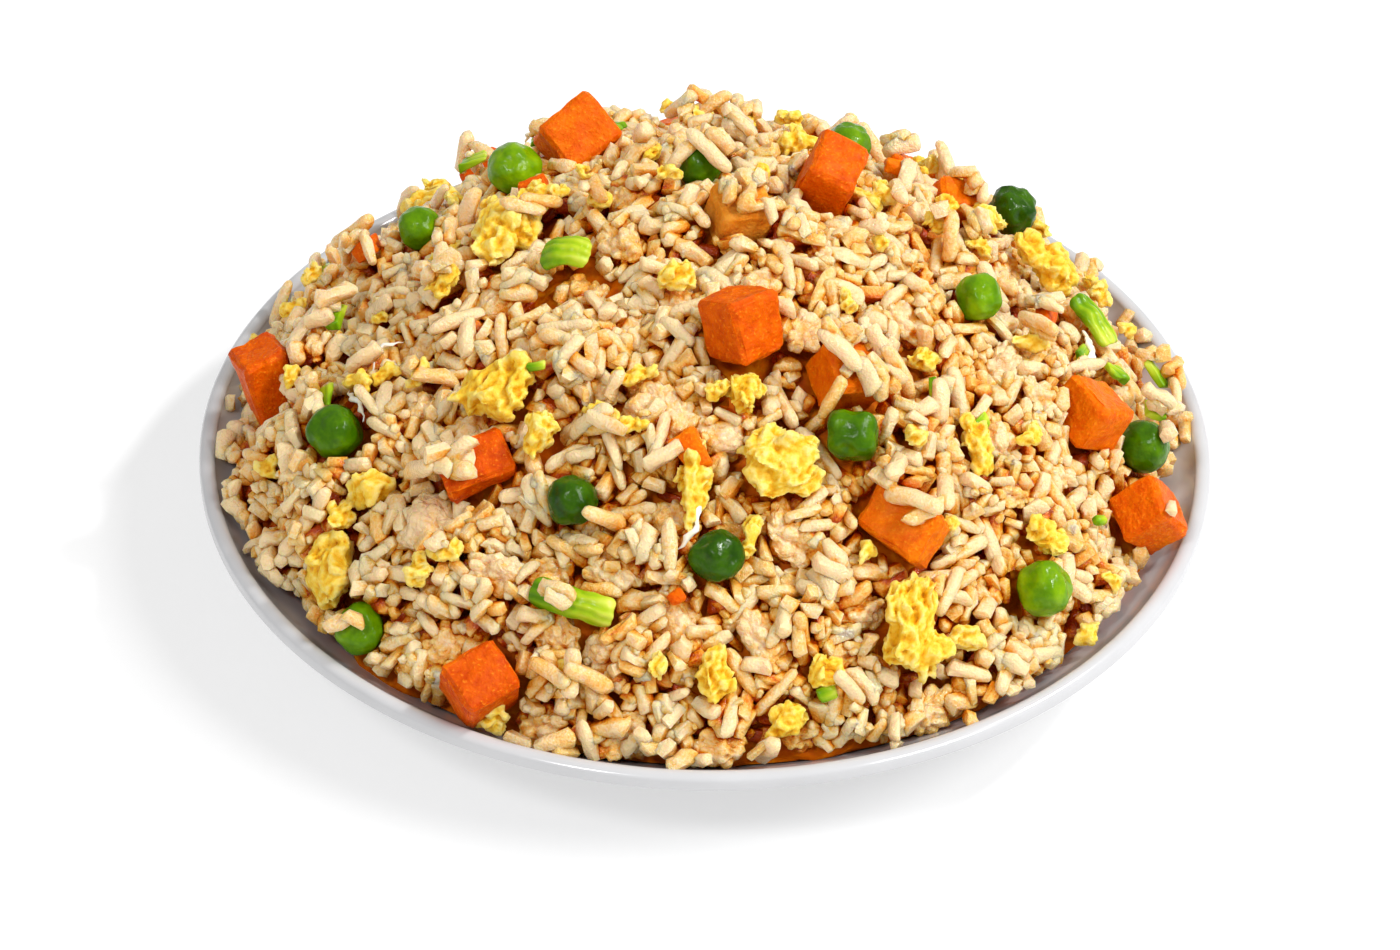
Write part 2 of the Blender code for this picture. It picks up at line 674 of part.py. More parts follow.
def main():
    clear_scene()
    materials = {name: make_material(name) for name in COLOURS}
    build_plate(materials["plate"])
    pockets = bpy.data.collections.new("pockets")
    sockets = []
    for name, kind, bm, place in topping_list():
        bm.transform(place)
        sockets.append(socket_around(bm))
        pocket = add_object(f"pocket_{name}", socket_mesh(sockets[-1]), materials["rice"])
        bpy.context.scene.collection.objects.unlink(pocket)
        pockets.objects.link(pocket)
        add_object(name, bm, materials[kind], smooth_angle=35.0 if kind == "carrot" else 60.0)
    heap = build_core(materials["rice"], sockets)
    cut_with(heap, pockets)
    keep_one_body(heap)


main()
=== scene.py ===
import math
import random

import bmesh
import bpy
import numpy as np
from mathutils import Matrix, Vector, noise
from mathutils.bvhtree import BVHTree


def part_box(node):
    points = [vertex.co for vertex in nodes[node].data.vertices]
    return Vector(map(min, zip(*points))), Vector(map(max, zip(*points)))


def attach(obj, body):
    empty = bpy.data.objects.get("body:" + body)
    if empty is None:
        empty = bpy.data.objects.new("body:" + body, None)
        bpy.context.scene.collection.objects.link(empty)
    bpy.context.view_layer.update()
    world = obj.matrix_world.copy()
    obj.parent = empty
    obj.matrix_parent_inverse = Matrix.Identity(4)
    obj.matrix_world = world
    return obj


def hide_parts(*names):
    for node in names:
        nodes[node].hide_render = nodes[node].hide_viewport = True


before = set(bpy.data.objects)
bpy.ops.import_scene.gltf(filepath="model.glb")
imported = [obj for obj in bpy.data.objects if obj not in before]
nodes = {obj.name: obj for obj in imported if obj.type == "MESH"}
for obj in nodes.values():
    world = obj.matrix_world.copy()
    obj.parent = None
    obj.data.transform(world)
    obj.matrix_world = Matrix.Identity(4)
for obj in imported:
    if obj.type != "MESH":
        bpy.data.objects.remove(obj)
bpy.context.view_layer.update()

mm = 0.001

# Fried rice with peas, carrot dice, scrambled egg and spring onion, heaped on a small white plate.
# +X is to the right of the photograph, -Y is towards the camera. Shapes are worked out in millimetres.


# The heap's form, as in the solids

heap = {
    "radius": 80.3, "rise": 49.0, "power": 1.84, "rounding": 0.83, "footLift": 0.5, "wander": 1.3,
    "waves": 2.2, "clumpSize": 15.0, "clumpHeight": 1.7, "edge": 0.985, "slopeStep": 0.004,
}
plate = {
    "radius": 85.0, "height": 24.0, "rimWidth": 2.8, "rimRound": 1.1, "wellRadius": 44.0, "wellFloor": 5.0,
    "wallCurve": 1.8, "wall": 2.6, "footInner": 40.5, "footWidth": 4.0, "footChamfer": 1.4, "footRecess": 2.2,
    "footRound": 0.3, "footEdge": 0.5, "rimDrop": 1.2, "around": 180, "wallSteps": 16, "rimSteps": 12,
    "colour": (0.57, 0.57, 0.58), "shade": (0.54, 0.54, 0.55),
}


def plateInside(radius):  # height of the plate's upper face
    share = (radius - plate["wellRadius"]) / (plate["radius"] - plate["rimWidth"] - plate["wellRadius"])
    rise = plate["height"] - plate["rimRound"] - plate["wellFloor"]
    return plate["wellFloor"] + rise * min(max(share, 0.0), 1.0) ** plate["wallCurve"]


def heapReach(bearing):
    around = Vector((heap["waves"] * math.cos(bearing), heap["waves"] * math.sin(bearing), 4.0))
    return heap["radius"] + heap["wander"] * noise.noise(around)


def heapPoint(share, bearing):  # share runs from 0 on top to 1 at the foot
    reach = heapReach(bearing)
    foot = plateInside(reach) + heap["footLift"]
    rise = heap["rise"] * max(0.0, 1.0 - share ** heap["power"]) ** heap["rounding"]
    return Vector((share * reach * math.cos(bearing), share * reach * math.sin(bearing), foot + rise))


def heapFrame(right, back):  # the smooth heap's point over a place in plan, and its normal
    bearing = math.atan2(back, right)
    share = min(math.hypot(right, back) / heapReach(bearing), heap["edge"])
    inner = heapPoint(max(share - heap["slopeStep"], 0.0), bearing)
    outer = heapPoint(share + heap["slopeStep"], bearing)
    slope = (outer.z - inner.z) / max((outer - inner).xy.length, 1e-6)
    normal = Vector((-slope * math.cos(bearing), -slope * math.sin(bearing), 1.0)).normalized()
    return heapPoint(share, bearing), normal


def clumpAt(point):
    return heap["clumpHeight"] * 2.0 * noise.noise(point / heap["clumpSize"])


def areaShares(steps=300):  # for picking places evenly over the heap's surface
    points = [heapPoint(i / steps, 0.0) for i in range(steps + 1)]
    rings = [0.0]
    for a, b in zip(points, points[1:]):
        rings.append(rings[-1] + (b - a).length * 0.5 * (a.x + b.x))
    return np.array(rings) / rings[-1], np.linspace(0.0, 1.0, steps + 1)


# Shader building

class Wire:  # a socket that can stand in a sum, such as 1 - mask * 0.5
    def __init__(self, finish, socket):
        self.finish = finish
        self.socket = socket

    def sum(self, operation, first, second):
        return self.finish.make("ShaderNodeMath", {"operation": operation}, {0: first, 1: second})

    def __add__(self, other):
        return self.sum("ADD", self, other)

    def __radd__(self, other):
        return self.sum("ADD", other, self)

    def __sub__(self, other):
        return self.sum("SUBTRACT", self, other)

    def __rsub__(self, other):
        return self.sum("SUBTRACT", other, self)

    def __mul__(self, other):
        return self.sum("MULTIPLY", self, other)

    def __rmul__(self, other):
        return self.sum("MULTIPLY", other, self)


class Finish:  # a material and the one method that makes its nodes
    def __init__(self, name):
        self.material = bpy.data.materials.new(name)
        self.material.use_nodes = True
        self.tree = self.material.node_tree
        self.tree.nodes.clear()

    def make(self, kind, settings=None, sockets=None, out=0):
        node = self.tree.nodes.new(kind)
        for key, value in (settings or {}).items():
            if key == "stops":
                ramp = node.color_ramp
                while len(ramp.elements) < len(value):
                    ramp.elements.new(0.5)
                for stop, (place, colour) in zip(ramp.elements, value):
                    stop.position = place
                    stop.color = (*colour, 1.0)
            else:
                setattr(node, key, value)
        for key, value in (sockets or {}).items():
            if isinstance(value, Wire):
                self.tree.links.new(value.socket, node.inputs[key])
            else:
                node.inputs[key].default_value = value
        return Wire(self, node.outputs[out]) if out is not None else None

    def place(self):
        return self.make("ShaderNodeTexCoord", out="Object")

    def tone(self):  # a random number for each separate grain, pea or die
        return self.make("ShaderNodeNewGeometry", out="Random Per Island")

    def stored(self, name):  # a number that the mesh keeps at each point
        return self.make("ShaderNodeAttribute", {"attribute_name": name}, out="Fac")

    def grain(self, size, detail=2.0, roughness=0.5):  # soft noise, its features about size mm across
        sockets = {"Vector": self.place(), "Scale": 1.0 / (size * mm)}
        sockets.update({"Detail": detail, "Roughness": roughness})
        return self.make("ShaderNodeTexNoise", {"noise_dimensions": "3D"}, sockets, "Fac")

    def ramp(self, factor, stops):
        return self.make("ShaderNodeValToRGB", {"stops": stops}, {"Fac": factor}, "Color")

    def blend(self, factor, first, second):
        settings = {"data_type": "RGBA", "clamp_factor": True}
        first, second = (end if isinstance(end, Wire) else (*end, 1.0) for end in (first, second))
        return self.make("ShaderNodeMix", settings, {0: factor, 6: first, 7: second}, 2)

    def between(self, value, low, high):  # 0 below low, 1 above high
        settings = {"interpolation_type": "SMOOTHSTEP"}
        sockets = {"Value": value, "From Min": low, "From Max": high}
        return self.make("ShaderNodeMapRange", settings, sockets, "Result")

    def bump(self, height, depth, strength):  # depth in mm
        sockets = {"Height": height, "Distance": depth * mm, "Strength": strength}
        return self.make("ShaderNodeBump", {}, sockets, "Normal")

    # The shader itself, where names are sockets with _ for a space. coat is its weight and roughness, and
    # soft says how much light sinks in, how far for each colour, and by what scale in metres.
    def skin(self, coat=(), soft=(), **values):
        values.update(zip(("Coat_Weight", "Coat_Roughness"), coat))
        values.update(zip(("Subsurface_Weight", "Subsurface_Radius", "Subsurface_Scale"), soft))
        sockets = {key.replace("_", " "): value for key, value in values.items()}
        shader = self.make("ShaderNodeBsdfPrincipled", {}, sockets, "BSDF")
        self.make("ShaderNodeOutputMaterial", {}, {"Surface": shader}, None)
        return self.material


# Making pieces

def ringFaces(rings, sides, ended=True):  # where ended, a point stands before the rings and one after
    first = 1 if ended else 0
    last = first + (rings - 1) * sides
    faces = []
    for k in range(sides):
        following = (k + 1) % sides
        if ended:
            faces.append((0, 1 + following, 1 + k))
        for a in range(first, last, sides):
            b = a + sides
            faces.append((a + k, a + following, b + following))
            faces.append((a + k, b + following, b + k))
        if ended:
            faces.append((last + k, last + following, last + sides))
    return np.array(faces)


def turned(rings, around, ends=()):  # (radius, height) rings about the middle, ended at two heights
    turns = np.arange(around) * 2.0 * math.pi / around
    points = [(r * math.cos(turn), r * math.sin(turn), height) for r, height in rings for turn in turns]
    if ends:
        points = [(0.0, 0.0, ends[0])] + points + [(0.0, 0.0, ends[1])]
    return np.array(points), ringFaces(len(rings), around, bool(ends))[:, [0, 2, 1]]


def joined(parts):  # several (points, triangles) as one
    points, triangles, start = [], [], 0
    for partPoints, partTriangles in parts:
        points.append(partPoints)
        triangles.append(partTriangles + start)
        start += len(partPoints)
    return np.concatenate(points), np.concatenate(triangles)


def treeOf(parts):  # for rays and nearest points
    points, triangles = joined(parts)
    return BVHTree.FromPolygons(points.tolist(), triangles.tolist())


def triangleMesh(name, parts):  # points in mm
    points, triangles = joined(parts)
    mesh = bpy.data.meshes.new(name)
    mesh.vertices.add(len(points))
    mesh.vertices.foreach_set("co", np.ascontiguousarray(points * mm, np.float32).ravel())
    mesh.loops.add(3 * len(triangles))
    mesh.loops.foreach_set("vertex_index", np.ascontiguousarray(triangles, np.int32).ravel())
    mesh.polygons.add(len(triangles))
    mesh.polygons.foreach_set("loop_start", np.arange(0, 3 * len(triangles), 3, dtype=np.int32))
    mesh.update(calc_edges=True)
    return mesh


def addValues(mesh, name, values):  # one number for each point, for the material to read
    mesh.attributes.new(name, "FLOAT", "POINT").data.foreach_set("value", values.astype(np.float32))


def addPiece(mesh, material, replaced=(), sharp=60.0):
    mesh.materials.clear()
    mesh.materials.append(material)
    mesh.shade_smooth()
    mesh.set_sharp_from_angle(angle=math.radians(sharp))
    piece = bpy.data.objects.new(mesh.name, mesh)
    bpy.context.scene.collection.objects.link(piece)
    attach(piece, "root")
    if replaced:
        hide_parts(*replaced)


def weldedCopy(node):  # a CAD node's mesh as a closed bmesh, in mm
    bm = bmesh.new()
    bm.from_mesh(nodes[node].data)
    bm.transform(Matrix.Scale(1.0 / mm, 4))
    bmesh.ops.remove_doubles(bm, verts=bm.verts, dist=0.002)
    bmesh.ops.recalc_face_normals(bm, faces=bm.faces)
    return bm


def refined(bm, modifiers):  # the mesh after some modifiers, as points in mm, triangles and normals
    mesh = bpy.data.meshes.new("work")
    bm.to_mesh(mesh)
    bm.free()
    thing = bpy.data.objects.new("work", mesh)
    bpy.context.scene.collection.objects.link(thing)
    for kind, values in modifiers:
        modifier = thing.modifiers.new(kind.lower(), kind)
        for key, value in values.items():
            setattr(modifier, key, value)
    bpy.context.view_layer.update()
    made = thing.evaluated_get(bpy.context.evaluated_depsgraph_get()).to_mesh()
    made.calc_loop_triangles()
    points = np.empty(3 * len(made.vertices))
    made.vertices.foreach_get("co", points)
    triangles = np.empty(3 * len(made.loop_triangles), np.int32)
    made.loop_triangles.foreach_get("vertices", triangles)
    normals = np.empty(3 * len(made.vertices))
    made.vertices.foreach_get("normal", normals)
    bpy.data.objects.remove(thing, do_unlink=True)
    bpy.data.meshes.remove(mesh)
    return points.reshape(-1, 3), triangles.reshape(-1, 3), normals.reshape(-1, 3)


def noiseAt(points, size, shift):
    away = Vector((shift, 1.7 * shift, -shift))
    return np.array([noise.noise(Vector(p) / size + away) for p in points.tolist()])


def pebbles(points, size, shift):  # from 0 in the creases to 1 on top of rounded lumps of that size
    away = Vector((shift, 2.3 * shift, -shift))
    near = np.array([noise.voronoi(Vector(p) / size + away)[0][:2] for p in points.tolist()])
    dome = np.sqrt(np.maximum(0.0, 1.0 - (near[:, 0] / 0.95) ** 2))
    return 0.7 * dome + 0.3 * np.minimum(1.0, (near[:, 1] - near[:, 0]) / 0.35)


def randomWay(rng):
    return Vector([rng.gauss(0, 1) for _ in range(3)])


def nodesOf(kind):
    return sorted(name for name in nodes if name.startswith(kind + "_"))


# Plate

def plateMaterial():
    finish = Finish("whiteGlaze")
    mottle = finish.grain(9.0, 3.0)
    colour = finish.blend(finish.between(mottle, 0.3, 0.75), plate["shade"], plate["colour"])
    return finish.skin(
        Base_Color=colour,
        Roughness=0.13 + finish.grain(4.0) * 0.08,
        coat=(0.25, 0.06),
        Normal=finish.bump(finish.grain(7.0, 1.0), 0.05, 0.35),
    )


def buildPlate():
    p = plate
    rimInner = p["radius"] - p["rimWidth"]
    steps = p["wallSteps"]
    wallRadii = [p["wellRadius"] + (rimInner - p["wellRadius"]) * k / steps for k in range(steps + 1)]
    profile = [(0.25 * p["wellRadius"] * k, p["wellFloor"]) for k in (1, 2, 3)]
    profile += [(radius, plateInside(radius)) for radius in wallRadii]
    half = 0.5 * p["rimWidth"]
    for k in range(1, p["rimSteps"]):  # the rounded rim
        turn = math.pi * (1.0 - k / p["rimSteps"])
        height = p["height"] - p["rimRound"] * (1.0 - math.sin(turn))
        profile.append((p["radius"] - half + half * math.cos(turn), height))
    profile.append((p["radius"], p["height"] - p["rimRound"] - p["rimDrop"]))
    for radius in wallRadii[steps - 2:0:-1]:  # the outer wall
        profile.append((radius + 0.5 * p["wall"], plateInside(radius) - 0.8 * p["wall"]))
    inner, outer = p["footInner"], p["footInner"] + p["footWidth"]
    profile += [
        (outer + p["footChamfer"], p["footRecess"]), (outer + p["footRound"], p["footEdge"]),
        (outer - p["footRound"], 0.0), (inner + p["footRound"], 0.0),
        (inner - p["footRound"], p["footEdge"]), (inner - p["footChamfer"], p["footRecess"]),
    ]
    dish = turned(profile, p["around"], (p["wellFloor"], p["footRecess"]))
    addPiece(triangleMesh("plateDish", [dish]), plateMaterial(), ["plate"], sharp=50.0)


# Peas

peas = {
    "levels": 2, "swell": 1.045, "squareness": (2.0, 2.6), "squarePea": "pea_09", "squarest": 3.4,
    "wrinkle": 0.26, "wrinkledPea": "pea_05", "wrinkledMore": 2.6,
    "dents": 4, "dentDepth": (0.25, 0.6), "dentWidth": (0.04, 0.12),
    "colours": [
        (0.25, (0.013, 0.052, 0.0)), (0.45, (0.045, 0.13, 0.0)),
        (0.62, (0.11, 0.25, 0.0)), (0.85, (0.28, 0.46, 0.002)),
    ],
}


def peaMaterial():
    finish = Finish("peaSkin")
    fine = finish.grain(0.9, 3.0)
    return finish.skin(
        Base_Color=finish.ramp(finish.grain(3.2, 3.0) * 0.55 + finish.tone() * 0.45, peas["colours"]),
        Roughness=0.14 + fine * 0.16,
        Specular_IOR_Level=0.12,
        coat=(0.08, 0.07),
        soft=(0.2, (0.5, 1.0, 0.2), 0.0012),
        Normal=finish.bump(finish.grain(1.9, 2.0) * 0.9 + fine * 0.2, 0.6, 0.6),
    )


def buildPeas():
    parts = []
    for index, name in enumerate(nodesOf("pea")):
        points, triangles, _ = refined(weldedCopy(name), [
            ("SUBSURF", {"levels": peas["levels"], "subdivision_type": "CATMULL_CLARK"}),
        ])
        centre = points.mean(axis=0)
        points = centre + (points - centre) * peas["swell"]  # subdividing shrinks it
        reach = np.linalg.norm(points - centre, axis=1)[:, None]
        away = (points - centre) / reach
        rng = random.Random(index)
        turn = Matrix.Rotation(rng.uniform(0.0, 3.0), 3, randomWay(rng))
        power = peas["squarest"] if name == peas["squarePea"] else rng.uniform(*peas["squareness"])
        boxed = (np.abs(away @ np.array(turn)) ** power).sum(axis=1) ** (-1.0 / power)
        height = boxed / boxed.mean() * reach[:, 0] - reach[:, 0]
        much = peas["wrinkle"] * (peas["wrinkledMore"] if name == peas["wrinkledPea"] else 1.0)
        height += much * (noiseAt(away, 0.4, 9.0 * index) - np.abs(noiseAt(away, 0.55, 5.0 * index + 3.0)))
        for _ in range(peas["dents"]):
            spot = np.array([rng.uniform(-1, 1), rng.uniform(-1, 0.3), rng.uniform(-0.2, 1)])
            spot /= np.linalg.norm(spot)
            depth = rng.uniform(*peas["dentDepth"])
            height -= depth * np.exp((away @ spot - 1.0) / rng.uniform(*peas["dentWidth"]))
        parts.append((points + away * height[:, None], triangles))
    addPiece(triangleMesh("peas", parts), peaMaterial(), nodesOf("pea"))
    return parts


# Carrots

carrots = {
    "cuts": 3, "rough": 0.2, "roughSize": 0.9, "wave": 0.42, "waveSize": 3.6, "sharp": 42.0,
    "browned": "carrot_06",
    "flesh": [(0.25, (0.52, 0.048, 0.0)), (0.5, (0.72, 0.11, 0.0)), (0.8, (0.87, 0.21, 0.001))],
    "specks": (0.98, 0.36, 0.02),
    "fried": [(0.25, (0.50, 0.12, 0.004)), (0.5, (0.74, 0.24, 0.012)), (0.8, (0.88, 0.42, 0.06))],
}


def carrotMaterial(name, stops):
    finish = Finish(name)
    flesh = finish.ramp(finish.grain(2.2, 4.0, 0.65) * 0.75 + finish.tone() * 0.28, stops)
    fine = finish.grain(0.55, 3.0)
    return finish.skin(
        Base_Color=finish.blend(finish.between(fine, 0.58, 0.75) * 0.5, flesh, carrots["specks"]),
        Roughness=0.3 + finish.grain(1.3) * 0.25,
        Specular_IOR_Level=0.06,
        coat=(0.02, 0.3),
        soft=(0.3, (1.0, 0.3, 0.06), 0.0018),
        Normal=finish.bump(fine * 0.8 + finish.grain(1.6) * 0.7, 0.5, 0.8),
    )


def buildCarrots():
    parts, names = [], nodesOf("carrot")
    for index, name in enumerate(names):
        points, triangles, normals = refined(weldedCopy(name), [
            ("SUBSURF", {"levels": carrots["cuts"], "subdivision_type": "SIMPLE"}),
        ])
        height = carrots["wave"] * noiseAt(points, carrots["waveSize"], 7.0 * index)
        height += carrots["rough"] * noiseAt(points, carrots["roughSize"], index)
        parts.append((points + normals * height[:, None], triangles))
    kinds = (("carrotDice", "carrotFlesh", "flesh"), ("brownedDie", "brownedCarrot", "fried"))
    for piece, skin, stops in kinds:
        chosen = [k for k, name in enumerate(names) if (name == carrots["browned"]) == (stops == "fried")]
        mesh = triangleMesh(piece, [parts[k] for k in chosen])
        material = carrotMaterial(skin, carrots[stops])
        addPiece(mesh, material, [names[k] for k in chosen], carrots["sharp"])
    return parts


# Scrambled egg

eggs = {
    "seed": 200, "blobs": 8, "blobShape": ((0.8, 1.5), (0.6, 1.1), (0.35, 0.8)), "shrink": 0.92,
    "voxel": 0.42, "bigFrom": 7.5, "smallVoxel": 0.8, "smallFold": 0.75,  # curds under bigFrom are finer
    "warp": 2.6, "warpSize": 3.6, "fold": 1.1, "foldSize": 4.2, "pleat": 0.4, "pleatSize": 1.9,
    "crumb": 0.2, "crumbSize": 0.8, "calmSize": 4.5,
    "colours": [
        (0.2, (0.60, 0.20, 0.0)), (0.38, (0.82, 0.42, 0.004)),
        (0.58, (0.91, 0.61, 0.055)), (0.82, (0.93, 0.76, 0.26)),
    ],
}


def eggMaterial():
    finish = Finish("scrambledEgg")
    # painted light and shade: the curds are paler on their ridges and a deeper yellow in their creases
    creaseShadeRidgeLight = finish.between(finish.make("ShaderNodeNewGeometry", out="Pointiness"), 0.44, 0.56)
    fine = finish.grain(0.7, 4.0, 0.6)
    patches = finish.grain(3.4, 4.0, 0.6)
    light = patches * 0.5 + finish.tone() * 0.1 + creaseShadeRidgeLight * 0.36 + (fine - 0.5) * 0.5 + 0.02
    return finish.skin(
        Base_Color=finish.ramp(light, eggs["colours"]),
        Roughness=0.28 + fine * 0.3,
        Specular_IOR_Level=0.2,
        coat=(0.03, 0.25),
        soft=(0.35, (1.0, 0.65, 0.15), 0.0016),
        Normal=finish.bump(fine * 0.7 + finish.grain(1.5, 3.0) * 0.7, 0.6, 0.8),
    )


def addBlob(bm, centre, size, rng):
    turn = Matrix.Rotation(rng.uniform(0.0, 6.28), 4, randomWay(rng).normalized())
    stretch = Matrix.Diagonal([size * rng.uniform(*share) for share in eggs["blobShape"]] + [1.0])
    place = Matrix.Translation(centre) @ turn @ stretch
    bmesh.ops.create_icosphere(bm, subdivisions=2, radius=1.0, matrix=place)


def folded(bm, voxel, seed, size):  # voxel remeshed, smoothed and then creased into curds
    points, triangles, normals = refined(bm, [
        ("REMESH", {"mode": "VOXEL", "voxel_size": voxel}),
        ("SMOOTH", {"factor": 0.5, "iterations": 2}),
    ])
    bend = [noiseAt(points, eggs["warpSize"] * size, seed + 7.0 * k) for k in range(3)]
    bent = points + eggs["warp"] * size * np.stack(bend, axis=1)
    fold = 1.0 - 2.6 * np.abs(noiseAt(bent, eggs["foldSize"] * size, seed))
    pleat = 1.0 - 2.6 * np.abs(noiseAt(bent, eggs["pleatSize"] * size, seed + 3.0))
    crumb = noiseAt(points, eggs["crumbSize"], seed + 4.0)
    creased = np.clip(0.75 + 1.3 * noiseAt(points, eggs["calmSize"] * size, seed + 5.0), 0.15, 1.25)
    creases = eggs["fold"] * (fold - 0.5) + eggs["pleat"] * (pleat - 0.5)
    height = size * creased * creases + eggs["crumb"] * crumb
    return points + normals * height[:, None], triangles


def buildEggs():
    parts = []
    for index, name in enumerate(nodesOf("egg")):
        low, high = (np.array(corner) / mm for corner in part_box(name))
        rng = random.Random(eggs["seed"] + index)
        bm = weldedCopy(name)
        spots = [vertex.co.copy() for vertex in bm.verts]
        centre = sum(spots, Vector()) / len(spots)
        small = min(high - low)
        bmesh.ops.scale(bm, vec=(eggs["shrink"],) * 3, verts=bm.verts, space=Matrix.Translation(-centre))
        for _ in range(eggs["blobs"]):
            spot = centre + (rng.choice(spots) - centre) * rng.uniform(0.55, 0.8)
            addBlob(bm, spot, small * rng.uniform(0.18, 0.3), rng)
        finer, size = (1.0, 1.0) if small > eggs["bigFrom"] else (eggs["smallVoxel"], eggs["smallFold"])
        points, triangles = folded(bm, eggs["voxel"] * finer, 11.0 * index, size)
        middle = 0.5 * (low + high)
        room = 0.5 * (high - low) + 0.3
        fit = np.minimum(1.0, room / np.abs(points - middle).max(axis=0))
        parts.append((middle + (points - middle) * fit, triangles))
    addPiece(triangleMesh("eggCurds", parts), eggMaterial(), nodesOf("egg"), sharp=75.0)
    return parts


# Spring onion

onions = {
    "levels": 3, "swell": 1.06, "rib": 0.09, "ribWidth": 1.5, "ribSway": 0.4, "wave": 0.35,
    "colours": [
        (0.15, (0.05, 0.17, 0.0)), (0.4, (0.18, 0.36, 0.001)),
        (0.62, (0.40, 0.53, 0.012)), (0.85, (0.66, 0.70, 0.10)),
    ],
}


def onionMaterial():
    finish = Finish("springOnion")
    streaks = finish.stored("rib")
    light = streaks * 0.14 + finish.grain(3.0) * 0.4 + finish.stored("along") * 0.45  # paler to one end
    return finish.skin(
        Base_Color=finish.ramp(light, onions["colours"]),
        Roughness=0.24 + streaks * 0.12,
        Specular_IOR_Level=0.15,
        coat=(0.08, 0.12),
        soft=(0.3, (0.6, 1.0, 0.15), 0.0015),
        Normal=finish.bump(streaks, 0.15, 0.5),
    )


def ribbed(points, triangles, normals, index):  # with ribs down its longest way
    centred = points - points.mean(axis=0)
    _, _, ways = np.linalg.svd(centred, full_matrices=False)
    along, across = centred @ ways[0], centred @ ways[1]
    across = across + onions["ribSway"] * noiseAt(points, 3.0, index)
    rib = 0.5 + 0.5 * np.cos(2.0 * math.pi * across / onions["ribWidth"])
    height = onions["rib"] * (rib - 0.6) + onions["wave"] * noiseAt(points, 2.5, index + 5.0)
    share = (along - along.min()) / (along.max() - along.min())
    return points + normals * height[:, None], triangles, rib, share


def addOnions(name, parts, replaced=()):
    shapes = [part[:2] for part in parts]
    mesh = triangleMesh(name, shapes)
    addValues(mesh, "rib", np.concatenate([part[2] for part in parts]))
    addValues(mesh, "along", np.concatenate([part[3] for part in parts]))
    material = bpy.data.materials.get("springOnion") or onionMaterial()
    addPiece(mesh, material, replaced)
    return shapes


def buildOnions():
    parts = []
    for index, name in enumerate(nodesOf("onion")):
        points, triangles, normals = refined(weldedCopy(name), [
            ("SUBSURF", {"levels": onions["levels"], "subdivision_type": "CATMULL_CLARK"}),
        ])
        centre = points.mean(axis=0)
        parts.append(ribbed(centre + (points - centre) * onions["swell"], triangles, normals, index))
    return addOnions("onionPieces", parts, nodesOf("onion"))


# Small scraps that lie among the grains

scraps = {
    # right, back, length, width, turn: scraps of egg where the photograph shows them
    "egg": [
        (-41, -9, 6.5, 4.6, 20), (-43, -54, 6.0, 4.2, 60), (-32, -72, 5.6, 4.4, 0), (7, -56, 7.0, 3.4, 80),
        (19, -70, 5.5, 4.5, 10), (53, -43, 6.4, 4.0, 150), (41, -61, 6.0, 5.0, 40), (34, -24, 5.4, 4.0, 0),
        (50, -30, 5.0, 3.2, 70), (52, -9, 4.6, 3.4, 30), (-55, -19, 5.5, 4.0, 120), (-46, -23, 5.8, 3.4, 45),
        (-21, -70, 5.2, 3.6, 0), (22, -19, 5.0, 3.0, 100), (-11, -34, 7.2, 3.8, 15), (62, -5, 8.4, 2.6, 75),
        (-57, -39, 5.2, 3.8, 100), (-11, -42, 4.6, 3.0, 10), (2, -37, 4.0, 3.0, 0), (26, 12, 5.0, 3.4, 160),
        (-27, 7, 7.6, 5.4, 30), (61, -50, 5.2, 3.4, 60), (-39, -53, 5.4, 4.0, 20), (65, -41, 4.6, 3.0, 0),
    ],
    "onion": [
        (43, -31, 3.4, 2.4, 60), (4, 41, 3.6, 2.6, 0), (19, -72, 3.2, 2.2, 30), (-61, -18, 5.4, 3.2, 80),
        (-26, -31, 3.0, 1.8, 0), (63, -34, 2.6, 1.6, 30), (36, -28, 3.6, 2.2, 90),
    ],
    "carrot": [
        (-56, 15, 4.4, 3.4, 0), (-4, -64, 2.6, 2.0, 30), (31, 27, 4.4, 3.2, 60), (-2, -46, 6.6, 4.4, 120),
    ],
    # how many more of each, the gap that they keep, and the share of them kept off the photographed side
    "spare": {"egg": (46, 7.5, 0.75), "onion": (12, 8.0, 1.0), "carrot": (7, 8.0, 1.0)},
    "spareLength": (3.0, 6.0), "spareWidth": (2.2, 3.8), "spareTries": 4000,
    # right, back, length, width, turn: white threads of egg
    "strands": [
        (-2, -55, 9.5, 1.3, 68), (63, 0, 12.5, 1.7, 75), (-52, -15, 7.0, 1.0, 20), (-56, -22, 8.0, 1.2, 100),
        (38, 58, 9.0, 1.2, 30), (-30, 50, 8.0, 1.1, 140),
    ],
    "white": [(0.3, (0.88, 0.76, 0.50)), (0.7, (0.95, 0.93, 0.84))],
    "strandLift": 1.1, "strandRings": 14, "strandSides": 7,
    "lift": 0.9, "blobs": 7, "voxel": 0.34, "fold": 0.62, "onionThick": 1.3, "carrotThick": 0.75,
    "jitter": 0.16, "lean": 0.5, "bevel": 0.3, "rough": 0.2, "seed": 31,
}


def onHeap(right, back, lift, turn):
    here, normal = heapFrame(right, back)
    lean = Vector((0.0, 0.0, 1.0)).rotation_difference(normal).to_matrix().to_4x4()
    lifted = here + normal * (clumpAt(here) + lift)
    return Matrix.Translation(lifted) @ lean @ Matrix.Rotation(math.radians(turn), 4, "Z")


